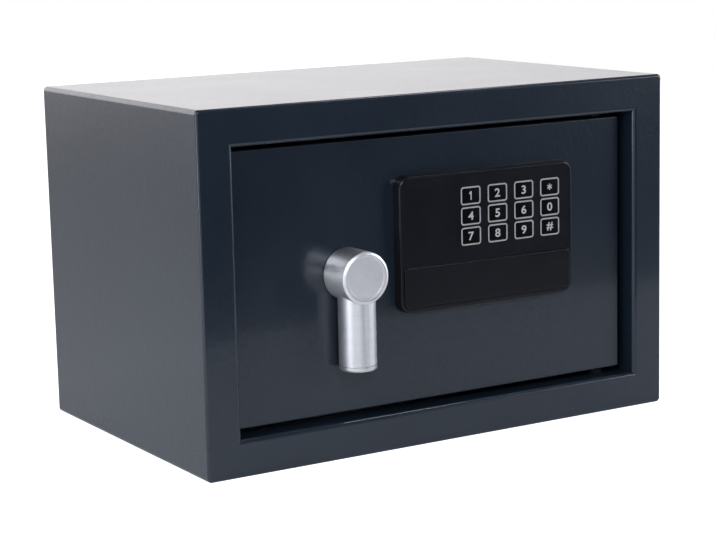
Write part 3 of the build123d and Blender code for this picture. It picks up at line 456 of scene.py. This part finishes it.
def woundCoil(name, look=coilWire):
    coil = Finish(name)
    sockets = {"Vector": coil.place(), "Scale": 1 / look["turnSize"], "Distortion": look["turnWander"]}
    turns = coil.add("ShaderNodeTexWave", {"bands_direction": "Z"}, sockets)
    cloud = coil.noise(look["cloudSize"], detail=2.0)
    tone = turns.mixed(cloud, look["colourTurns"])
    return coil.shine(Base_Color=coil.blend(tone, look["deep"], look["pale"]), Metallic=look["metallic"],
                      Roughness=look["roughness"] + cloud * look["roughnessCloud"],
                      Normal=coil.bump(turns, look["turnDepth"]))


print("finishes")
knobCentre = (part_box("handle_face_cap")[0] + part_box("handle_face_cap")[1]) / 2
finishes = {
    "body_paint": powderPaint("bodyPowder"),
    "door_paint": powderPaint("doorPowder"),
    "pan_paint": powderPaint("panPowder"),
    "mat_felt": feltCloth("matFelt"),
    "handle_metal": turnedMetal("knobMetal"),
    "cap_metal": spunMetal("capMetal", knobCentre),
    "bolt_chrome": turnedMetal("boltChrome"),
    "plated_steel": platedMetal("zincSteel"),
    "black_steel": platedMetal("blackSteel"),
    "lock_chrome": turnedMetal("lockChrome"),
    "bush_brass": turnedMetal("bushBrass"),
    "housing_plastic": mouldedPlastic("housingPlastic"),
    "overlay_film": mouldedPlastic("overlayFilm"),
    "key_rubber": mouldedPlastic("keyRubber"),
    "board_green": circuitBoard("boardGreen"),
    "dome_film": mouldedPlastic("domeFilm"),
    "coil_tape": woundCoil("coilWire"),
    "battery_wrap": mouldedPlastic("cellWrap"),
    "tray_plastic": mouldedPlastic("trayPlastic"),
    "button_red": mouldedPlastic("buttonRed"),
    "lead_plastic": mouldedPlastic("leadPlastic"),
    "ribbon_grey": mouldedPlastic("ribbonGrey"),
}
# further finishes, for a part of a piece or for print
gripMetal = turnedMetal("gripMetal")
rimMetal = turnedMetal("rimMetal")
borderInk = printedInk("borderInk")
digitInk = printedInk("digitInk")

slotOf = {part["node"]: part["material_slot"] for part in frame["record"]["subparts"]}
for node, thing in frame["nodes"].items():
    thing.data.materials.clear()
    thing.data.materials.append(finishes[slotOf[node]])


def addObject(name, data):
    thing = bpy.data.objects.new(name, data)
    scene.collection.objects.link(thing)
    return thing


# turns a finished shape into a mesh
def meshOf(name, shape):
    mesh = bpy.data.meshes.new(name)
    shape.to_mesh(mesh)
    shape.free()
    return mesh


def meshFromObject(thing):
    return bpy.data.meshes.new_from_object(thing.evaluated_get(bpy.context.evaluated_depsgraph_get()))


# a finished mesh becomes a piece: it rides on its body, has a slot, and stands for CAD nodes or none
def makePiece(name, mesh, body, materials, stands=(), sharpAngle=30):
    for material in materials:
        mesh.materials.append(material)
    for face in mesh.polygons:
        face.use_smooth = True
    mesh.set_sharp_from_angle(angle=math.radians(sharpAngle))
    piece = addObject(name, mesh)
    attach(piece, body)
    if stands:
        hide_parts(*stands)
    return piece


# a solid of revolution from (radius, distance along the axis) points
def spun(profile, centre, axis, steps):
    shape = bmesh.new()
    side = Vector((1, 0, 0)) if axis.x == 0 else upwards
    points = [shape.verts.new(centre + side * radius + axis * along) for radius, along in profile]
    edges = [shape.edges.new(pair) for pair in zip(points, points[1:])]
    bmesh.ops.spin(shape, geom=points + edges, cent=centre, axis=axis, angle=math.tau, steps=steps,
                   use_merge=True)
    bmesh.ops.remove_doubles(shape, verts=shape.verts, dist=mergeGap)
    bmesh.ops.recalc_face_normals(shape, faces=shape.faces)
    return shape


# rounds a profile's corner with a short arc
def rounded(before, corner, after, radius, steps=4):
    corner = Vector(corner)
    toBefore = (Vector(before) - corner).normalized()
    toAfter = (Vector(after) - corner).normalized()
    half = toBefore.angle(toAfter) / 2
    reach = radius / math.tan(half)
    middle = corner + (toBefore + toAfter).normalized() * (radius / math.sin(half))
    start = corner + toBefore * reach - middle
    finish = corner + toAfter * reach - middle
    points = []
    for step in range(steps + 1):
        share = step / steps
        spoke = (start * (1 - share) + finish * share).normalized() * radius
        points.append(tuple(middle + spoke))
    return points


# joins shapes to one closed mesh, or cuts the later ones out of the first
def combined(name, shapes, operation="UNION"):
    holders = [addObject("shape", meshOf("shape", shape)) for shape in shapes]
    for other in holders[1:]:
        change = holders[0].modifiers.new("change", "BOOLEAN")
        change.operation = operation
        change.solver = "EXACT"
        change.object = other
    mesh = meshFromObject(holders[0])
    mesh.name = name
    for holder in holders:
        bpy.data.objects.remove(holder)
    return mesh


# handle: knob and bar grip in one casting, turned all over
handleLook = {
    "turnSteps": 128,
    "gripSteps": 96,
    "wideRoundSteps": 8,
    "fineRoundSteps": 3,
    "rimWidth": 1.7 * mm,
    "rimSlope": 0.45,
    "rimRound": 0.9 * mm,
    "rimDepth": 1.5 * mm,
    "lipRound": 0.30 * mm,
    "backRound": 0.50 * mm,
    "ridgePitch": 0.70 * mm,
    "ridgeDepth": 0.14 * mm,
    "capGap": 0.12 * mm,
    "capDish": 0.40 * mm,
    "capDishSteps": 12,
    "capDishRise": 0.35,  # share of the dish that is gone where the step starts
    "capStep": 0.35 * mm,
    "capLand": 1.5 * mm,
    "capEdge": 0.30 * mm,
    "gripRadius": 10.5 * mm,
    "gripBehindFace": 11.0 * mm,
    "gripUnderAxis": 4.0 * mm,  # the grip ends inside the knob, this far under its axis
    "gripEndRound": 1.5 * mm,
    "grooveUp": 2.7 * mm,
    "grooveWidth": 0.55 * mm,
    "grooveDepth": 1.10 * mm,
}
gripPlace, rimPlace = 1, 2  # in the casting's materials, behind the knob's own


def gripProfile(drop, look):
    radius = look["gripRadius"]
    top = drop - look["gripUnderAxis"]
    low = look["grooveUp"]
    high = low + look["grooveWidth"]
    inner = radius - look["grooveDepth"]
    profile = [(0, 0)]
    profile += rounded((0, 0), (radius, 0), (radius, low), look["gripEndRound"], look["wideRoundSteps"])
    profile += [(radius, low), (inner, low), (inner, high), (radius, high)]
    return profile + [(radius, top), (0, top)]


def capProfile(radius, thickness, look):
    dish = look["capDish"]
    land = radius - look["capLand"]
    inner = land - look["capStep"]
    profile = [(0, dish)]
    for step in range(1, look["capDishSteps"] + 1):
        share = step / look["capDishSteps"]
        profile.append((inner * share, dish * (1 - look["capDishRise"] * share ** 2)))
    profile += [(land, 0)]
    profile += rounded((land, 0), (radius, 0), (radius, thickness), look["capEdge"],
                       look["fineRoundSteps"])
    return profile + [(radius, thickness), (0, thickness)]


def knobProfile(radius, length, look):
    slope = look["rimSlope"] * look["rimWidth"]
    profile = [(0, 0), (radius - look["rimWidth"], 0)]
    profile += rounded(profile[-1], (radius, slope), (radius, length), look["rimRound"],
                       look["wideRoundSteps"])
    ridges = int((length - look["backRound"] - look["rimDepth"]) / look["ridgePitch"])
    for ridge in range(ridges):
        start = look["rimDepth"] + ridge * look["ridgePitch"]
        profile.append((radius - look["ridgeDepth"], start + look["ridgePitch"] / 2))
        profile.append((radius, start + look["ridgePitch"]))
    profile += rounded((radius, 0), (radius, length), (0, length), look["backRound"])
    return profile + [(0, length)]


# the recess for the cap, cut from 1 mm in front of the knob
def pocketProfile(radius, lip, floor, look):
    profile = [(0, floor), (lip, floor)]
    profile += rounded((lip, floor), (lip, 0), (radius, 0), look["lipRound"], look["fineRoundSteps"])
    return profile + [(lip + look["lipRound"], -mm), (0, -mm)]


def buildHandle(look=handleLook):
    low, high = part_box("handle_casting")
    capLow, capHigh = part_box("handle_face_cap")
    radius = (high.x - low.x) / 2
    capRadius = (capHigh.x - capLow.x) / 2
    centre = Vector(((low.x + high.x) / 2, low.y, high.z - radius))
    knob = spun(knobProfile(radius, high.y - low.y, look), centre, backwards, look["turnSteps"])
    for face in knob.faces:
        if face.calc_center_median().y < low.y + look["rimDepth"]:
            face.material_index = rimPlace
    gripCentre = Vector((centre.x, low.y + look["gripBehindFace"], low.z))
    grip = spun(gripProfile(centre.z - low.z, look), gripCentre, upwards, look["gripSteps"])
    for face in grip.faces:
        face.material_index = gripPlace
    pocket = spun(pocketProfile(radius, capRadius + look["capGap"], capHigh.y - low.y, look), centre,
                  backwards, look["turnSteps"])
    for face in pocket.faces:
        face.material_index = rimPlace
    casting = bmesh.new()
    casting.from_mesh(combined("casting", [knob, grip]))
    mesh = combined("handleCasting", [casting, pocket], "DIFFERENCE")
    makePiece("handleCasting", mesh, "handle",
              [finishes["handle_metal"], gripMetal, rimMetal], ["handle_casting"])
    capCentre = Vector((centre.x, capLow.y, centre.z))
    cap = spun(capProfile(capRadius, capHigh.y - capLow.y, look), capCentre, backwards, look["turnSteps"])
    makePiece("handleFaceCap", meshOf("handleFaceCap", cap), "handle",
              [finishes["cap_metal"]], ["handle_face_cap"])


print("handle")
buildHandle()

# keys: each cap carries a printed border and one plain character
keyLook = {
    "labels": {"1": None, "2": "2", "3": "3", "star": None, "4": "4", "5": "5", "6": "6", "0": "0",
               "7": "7", "8": "8", "9": "6", "hash": "#"},  # None: drawn with the strokes below
    "turned": ["9"],  # its character stands on its head
    "flange": 1.2 * mm,
    "capDepth": 2.6 * mm,
    "cornerRound": 1.9 * mm,
    "edgeRound": 0.25 * mm,
    "edgeSteps": 3,
    "frontReach": 0.01 * mm,  # an edge this close to the front belongs to it
    "borderInset": 0.12 * mm,
    "borderWidth": 0.85 * mm,
    "inkHeight": 0.06 * mm,
    "digitHeight": 4.9 * mm,
    "digitWiden": 1.15,
    "digitBold": 0.018,
    "digitSmoothness": 6,
    "digitMerge": 0.002 * mm,
    "strokes": {
        "1": {"width": 0.80 * mm, "height": 4.9 * mm,
              "bars": [((0.05, -0.5), (0.05, 0.5)), ((0.05, 0.42), (-0.17, 0.22))]},
        "star": {"width": 0.70 * mm, "height": 3.7 * mm,
                 "bars": [((0, -0.5), (0, 0.5)), ((-0.43, -0.25), (0.43, 0.25)),
                          ((-0.43, 0.25), (0.43, -0.25))]},
    },
}


# a flat rounded rectangle that faces the front
def roundedPlate(low, high, y, corner, steps=8):
    shape = bmesh.new()
    corners = [(low.x, low.z), (high.x, low.z), (high.x, high.z), (low.x, high.z)]
    points = [shape.verts.new((x, y, z)) for x, z in corners]
    shape.faces.new(points)
    bmesh.ops.bevel(shape, geom=list(shape.verts), offset=corner, offset_type="OFFSET", segments=steps,
                    profile=0.5, affect="VERTICES", material=-1)
    return shape


# doubles all faces of a flat shape and gives the new vertices, still in place
def pulledOut(shape):
    result = bmesh.ops.extrude_face_region(shape, geom=list(shape.faces))
    return [part for part in result["geom"] if isinstance(part, bmesh.types.BMVert)]


def thicken(shape, depth):
    bmesh.ops.translate(shape, verts=pulledOut(shape), vec=backwards * depth)
    bmesh.ops.recalc_face_normals(shape, faces=shape.faces)


def keyCap(low, high, front, look):
    cap = roundedPlate(low, high, front, look["cornerRound"])
    thicken(cap, look["capDepth"])
    reach = front + look["frontReach"]
    rim = [edge for edge in cap.edges if all(vert.co.y < reach for vert in edge.verts)]
    bmesh.ops.bevel(cap, geom=rim, offset=look["edgeRound"], offset_type="OFFSET",
                    segments=look["edgeSteps"], profile=0.5, affect="EDGES", material=-1)
    return cap


def keyBorder(low, high, y, look):
    inset = Vector((look["borderInset"], 0, look["borderInset"]))
    ring = roundedPlate(low + inset, high - inset, y, look["cornerRound"] - look["borderInset"])
    result = bmesh.ops.inset_region(ring, faces=list(ring.faces), thickness=look["borderWidth"],
                                    use_boundary=True, use_even_offset=True)
    inner = [face for face in ring.faces if face not in result["faces"]]
    bmesh.ops.delete(ring, geom=inner, context="FACES")
    thicken(ring, look["inkHeight"])
    return ring


# a character drawn with straight bars
def barCharacter(strokes, centre, y, depth):
    bars = []
    for start, end in strokes["bars"]:
        start = Vector((start[0], 0, start[1])) * strokes["height"]
        end = Vector((end[0], 0, end[1])) * strokes["height"]
        along = end - start
        turn = Matrix.Rotation(math.atan2(along.x, along.z), 4, "Y")
        size = Matrix.Diagonal((strokes["width"], depth, along.length, 1))
        place = Matrix.Translation(centre + (start + end) / 2)
        bar = bmesh.new()
        bmesh.ops.create_cube(bar, size=1, matrix=place @ turn @ size)
        bars.append(bar)
    shape = bmesh.new()
    shape.from_mesh(combined("bars", bars))
    bmesh.ops.translate(shape, verts=shape.verts, vec=(0, y + depth / 2 - centre.y, 0))
    return shape


def textCharacter(label, centre, y, look, turned):
    text = bpy.data.curves.new("character", "FONT")
    text.body = label
    text.size = 1.0
    text.offset = look["digitBold"]
    text.resolution_u = look["digitSmoothness"]
    text.extrude = 0.01  # any depth, scaled to the ink's height below
    holder = addObject("character", text)
    shape = bmesh.new()
    shape.from_mesh(meshFromObject(holder))
    bpy.data.objects.remove(holder)
    low, high = [Vector([pick(vert.co[axis] for vert in shape.verts) for axis in range(3)])
                 for pick in (min, max)]
    scale = look["digitHeight"] / (high.y - low.y)
    place = Matrix.Translation((centre.x, y + look["inkHeight"] / 2, centre.z))
    turn = Matrix.Rotation(math.radians(90), 4, "X")
    side = -1 if turned else 1
    size = Matrix.Diagonal((side * scale * look["digitWiden"], side * scale,
                            look["inkHeight"] / (high.z - low.z), 1))
    centred = Matrix.Translation(-(low + high) / 2)
    bmesh.ops.transform(shape, matrix=place @ turn @ size @ centred, verts=shape.verts)
    bmesh.ops.remove_doubles(shape, verts=shape.verts, dist=look["digitMerge"])
    return shape


def buildKeys(look=keyLook):
    for name, label in look["labels"].items():
        low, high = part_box("key_" + name)
        front = low.y
        low = Vector((low.x + look["flange"], front, low.z))
        high = Vector((high.x - look["flange"], front, high.z))
        centre = (low + high) / 2
        inkFront = front - look["inkHeight"] / 2
        if name in look["strokes"]:
            character = barCharacter(look["strokes"][name], centre, inkFront, look["inkHeight"])
        else:
            character = textCharacter(label, centre, inkFront, look, name in look["turned"])
        shapes = [("keyCap_", keyCap(low, high, front, look), finishes["key_rubber"], ["key_" + name]),
                  ("keyBorder_", keyBorder(low, high, inkFront, look), borderInk, []),
                  ("keyCharacter_", character, digitInk, [])]
        for kind, shape, material, stands in shapes:
            mesh = meshOf(kind + name, shape)
            makePiece(kind + name, mesh, "button_" + name, [material], stands)


print("keys")
buildKeys()

# floor mat: needled felt, laid flat, with soft cut edges and a hole over each anchor hole
matLook = {
    "holeSpacing": 190 * mm,
    "holeY": 15 * mm,
    "holeRadius": 11 * mm,
    "holeSteps": 48,
    "cell": 5 * mm,
    "edgeDrop": 0.7 * mm,
    "swell": 0.30 * mm,
    "swellLength": 46 * mm,
    "swellStart": 1.3,
    "sharpAngle": 50,
}


def buildMat(look=matLook):
    low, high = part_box("floor_mat")
    size = high - low
    middle = (low + high) / 2
    mat = bmesh.new()
    cells = [round(size[axis] / look["cell"]) for axis in range(2)]
    bmesh.ops.create_grid(mat, x_segments=cells[0], y_segments=cells[1], size=0.5)
    bmesh.ops.transform(mat, matrix=Matrix.Translation((middle.x, middle.y, low.z))
                        @ Matrix.Diagonal((size.x, size.y, 1, 1)), verts=mat.verts)
    for vert in pulledOut(mat):
        wave = math.sin(vert.co.x / look["swellLength"] + look["swellStart"])
        wave *= math.cos(vert.co.y / look["swellLength"])
        edge = min(vert.co.x - low.x, high.x - vert.co.x, vert.co.y - low.y, high.y - vert.co.y)
        drop = look["edgeDrop"] if edge < look["cell"] / 2 else look["swell"] * (0.5 + 0.5 * wave)
        vert.co.z = high.z - drop
    bmesh.ops.recalc_face_normals(mat, faces=mat.faces)
    shapes = [mat]  # and the cutters, which stand well past both faces
    for side in (-0.5, 0.5):
        hole = bmesh.new()
        place = Matrix.Translation((side * look["holeSpacing"], look["holeY"], middle.z))
        bmesh.ops.create_cone(hole, cap_ends=True, segments=look["holeSteps"], radius1=look["holeRadius"],
                              radius2=look["holeRadius"], depth=4 * size.z, matrix=place)
        shapes.append(hole)
    piece = makePiece("floorMat", combined("floorMat", shapes, "DIFFERENCE"), "safe_body",
                      [finishes["mat_felt"]], ["floor_mat"], look["sharpAngle"])


print("floor mat")
buildMat()

# cover screws: domed heads with a cross recess
screwLook = {
    "turnSteps": 48,
    "domeSteps": 8,
    "domeReach": 0.96,  # of the head's radius
    "domeCurve": 0.85,  # 1 falls straight down at the edge, less is gentler there, and it stays over 0
    "rimHeight": 0.7 * mm,
    "rimRound": 0.25 * mm,
    "shankRadius": 1.9 * mm,
    "crossWidth": 1.0 * mm,
    "crossLength": 3.8 * mm,
    "crossDepth": 1.3 * mm,
    "crossTaper": 0.7,  # the recess's floor beside its mouth
}


# the box of each separate solid in a CAD node
def solidBoxes(node):
    shape = bmesh.new()
    shape.from_mesh(frame["nodes"][node].data)
    bmesh.ops.remove_doubles(shape, verts=shape.verts, dist=mergeGap)
    waiting = set(shape.verts)
    boxes = []
    while waiting:
        front = [waiting.pop()]
        found = []
        while front:
            vert = front.pop()
            found.append(vert.co.copy())
            for edge in vert.link_edges:
                other = edge.other_vert(vert)
                if other in waiting:
                    waiting.remove(other)
                    front.append(other)
        boxes.append([Vector([pick(point[axis] for point in found) for axis in range(3)])
                      for pick in (min, max)])
    shape.free()
    return boxes


def headProfile(radius, length, look):
    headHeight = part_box("cover_screws")[1].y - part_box("inner_cover")[1].y
    rise = headHeight - look["rimHeight"]
    curve = look["domeCurve"]
    fall = 1 - math.sqrt(1 - curve)
    profile = [(0, 0)]
    for step in range(1, look["domeSteps"] + 1):
        share = step / look["domeSteps"]
        down = rise * (1 - math.sqrt(1 - curve * share ** 2)) / fall
        profile.append((radius * look["domeReach"] * share, down))
    shank = look["shankRadius"]
    profile += [(radius, rise + look["rimRound"]), (radius, headHeight), (shank, headHeight)]
    return profile + [(shank, length), (0, length)]


def crossHead(low, high, look):
    centre = Vector(((low.x + high.x) / 2, high.y, (low.z + high.z) / 2))
    profile = headProfile((high.x - low.x) / 2, high.y - low.y, look)
    shapes = [spun(profile, centre, -backwards, look["turnSteps"])]
    long, short = look["crossLength"], look["crossWidth"]
    for wide, tall in ((long, short), (short, long)):
        slot = bmesh.new()
        place = Matrix.Translation(centre) @ Matrix.Diagonal((wide, 2 * look["crossDepth"], tall, 1))
        bmesh.ops.create_cube(slot, size=1, matrix=place)
        for vert in slot.verts:
            if vert.co.y < centre.y:
                vert.co = centre + (vert.co - centre) * look["crossTaper"]
                vert.co.y = centre.y - look["crossDepth"]
        shapes.append(slot)
    return combined("screw", shapes, "DIFFERENCE")


def buildScrews(look=screwLook):
    screws = bmesh.new()
    for low, high in solidBoxes("cover_screws"):
        screws.from_mesh(crossHead(low, high, look))
    makePiece("coverScrews", meshOf("coverScrews", screws), "door",
              [finishes["plated_steel"]], ["cover_screws"])


print("cover screws")
buildScrews()

# studio: a pale table under broad soft lights, each one a glow in the sky or a lamp
studio = {
    "floorLow": (-2.2, -0.42),
    "floorHigh": (1.6, 3.0),
    "floorPale": rgb(0.88, 0.88, 0.88),
    "floorDeep": rgb(0.84, 0.84, 0.84),
    "floorGlow": rgb(0.0, 0.0, 0.0),
    "floorSeen": rgb(1.0, 1.0, 1.0),  # the camera alone sees it as white as the photograph's background
    "floorCloudSize": 0.4,
    "floorRoughness": 0.75,
    "floorRoughnessCloud": 0.1,
    "backdrop": rgb(1.0, 1.0, 1.0),
    "skyTint": (1.005, 0.985, 1.01),
    "lampTint": (0.92, 0.98, 1.09),
    "lampAim": (0, 0, 0.1),
    "glows": {
        "behindRight": {"towards": (0.375, 0.927, 0.17), "inner": 2, "outer": 45, "strength": 1.42},
        "behindLeft": {"towards": (-0.51, 0.845, 0.10), "inner": 10, "outer": 45, "strength": 2.24},
    },
    "lamps": {
        "softBox": {"place": (-0.95, -0.42, 1.02), "size": 0.6, "strength": 5.0},
        "sideBox": {"place": (-1.5, 0.2, 0.6), "size": 0.6, "strength": 3.5},
        "sideLow": {"place": (-1.1, -0.32, 0.05), "size": 0.50, "strength": 3.4},
        "frontBox": {"place": (-0.40, -1.22, 0.71), "size": 0.12, "strength": 7.0},
        "frontLow": {"place": (-0.62, -1.1, 0.05), "size": 0.5, "strength": 0.7},
        "rightFront": {"place": (1.3, -1.0, 0.5), "size": 0.5, "strength": 8.0},
        "rightLow": {"place": (1.1, -0.4, 0.05), "size": 0.35, "strength": 0.8},
        "edgeBox": {"place": (0.75, -0.15, 1.4), "size": 0.25, "strength": 2.5},
    },
}


def studioFloorFinish(look):
    finish = Finish("studioFloor")
    cloud = finish.noise(look["floorCloudSize"], detail=3.0)
    colour = finish.blend(cloud, look["floorDeep"], look["floorPale"])
    seen = finish.add("ShaderNodeLightPath", output="Is Camera Ray")
    glow = finish.blend(seen, look["floorGlow"], look["floorSeen"])
    shine = look["floorRoughness"] + cloud * look["floorRoughnessCloud"]
    return finish.shine(Base_Color=colour, Roughness=shine, Emission_Color=glow, Emission_Strength=1.0)


def buildFloor(look):
    floor = bmesh.new()
    low = Vector(look["floorLow"])
    high = Vector(look["floorHigh"])
    bmesh.ops.create_grid(floor, x_segments=1, y_segments=1, size=0.5)
    bmesh.ops.scale(floor, verts=floor.verts, vec=(*(high - low), 1))
    bmesh.ops.translate(floor, verts=floor.verts, vec=(*(high + low) / 2, 0))
    mesh = meshOf("studioFloor", floor)
    mesh.materials.append(studioFloorFinish(look))
    ground = addObject("studioFloor", mesh)


def buildSky(look):
    scene.world = bpy.data.worlds.new("studioSky")
    sky = Finish("studioSky", scene.world)
    where = sky.add("ShaderNodeTexCoord", output="Generated")
    total = 0.0
    for glow in look["glows"].values():
        towards = Vector(glow["towards"]).normalized()
        facing = sky.add("ShaderNodeVectorMath", {"operation": "DOT_PRODUCT"}, {0: where, 1: towards},
                         output="Value")
        reach = [math.cos(math.radians(glow[edge])) for edge in ("outer", "inner")]
        total = total + sky.span(facing, *reach) * glow["strength"]
    light = sky.add("ShaderNodeVectorMath", {"operation": "SCALE"}, {0: look["skyTint"], "Scale": total})
    seen = sky.add("ShaderNodeLightPath", output="Is Camera Ray")
    colour = sky.blend(seen, light, look["backdrop"])
    shader = sky.add("ShaderNodeBackground", {}, {"Color": colour, "Strength": 1.0})
    sky.add("ShaderNodeOutputWorld", {}, {"Surface": shader})


def buildLamps(look):
    for name, lampLook in look["lamps"].items():
        lamp = bpy.data.lights.new(name, "AREA")
        lamp.shape = "SQUARE"
        lamp.size = lampLook["size"]
        lamp.energy = lampLook["strength"]
        lamp.color = look["lampTint"]
        holder = addObject(name, lamp)
        holder.location = lampLook["place"]
        aim = Vector(look["lampAim"]) - Vector(lampLook["place"])
        holder.rotation_euler = aim.to_track_quat("-Z", "Y").to_euler()


# camera: where the photograph's perspective puts it
cameraLook = {
    "place": (-631.0 * mm, -1044.3 * mm, 301.8 * mm),
    "azimuth": -31.21,
    "elevation": 10.08,
    "roll": -1.33,
    "lens": 102.74,
    "sensor": 36.0,
}


def buildCamera(look=cameraLook):
    turn = math.radians(look["azimuth"])
    rise = math.radians(look["elevation"])
    roll = math.radians(look["roll"])
    back = Vector((math.sin(turn) * math.cos(rise), -math.cos(turn) * math.cos(rise), math.sin(rise)))
    right = (-back).cross(upwards).normalized()
    up = right.cross(-back)
    rolledRight = right * math.cos(roll) + up * math.sin(roll)
    rolledUp = up * math.cos(roll) - right * math.sin(roll)
    data = bpy.data.cameras.new("photoCamera")
    data.lens = look["lens"]
    data.sensor_width = look["sensor"]
    data.sensor_fit = "HORIZONTAL"
    camera = addObject("photoCamera", data)
    pose = Matrix((rolledRight, rolledUp, back)).transposed().to_4x4()
    pose.translation = Vector(look["place"])
    camera.matrix_world = pose
    scene.camera = camera


print("studio and camera")
buildFloor(studio)
buildSky(studio)
buildLamps(studio)
buildCamera()
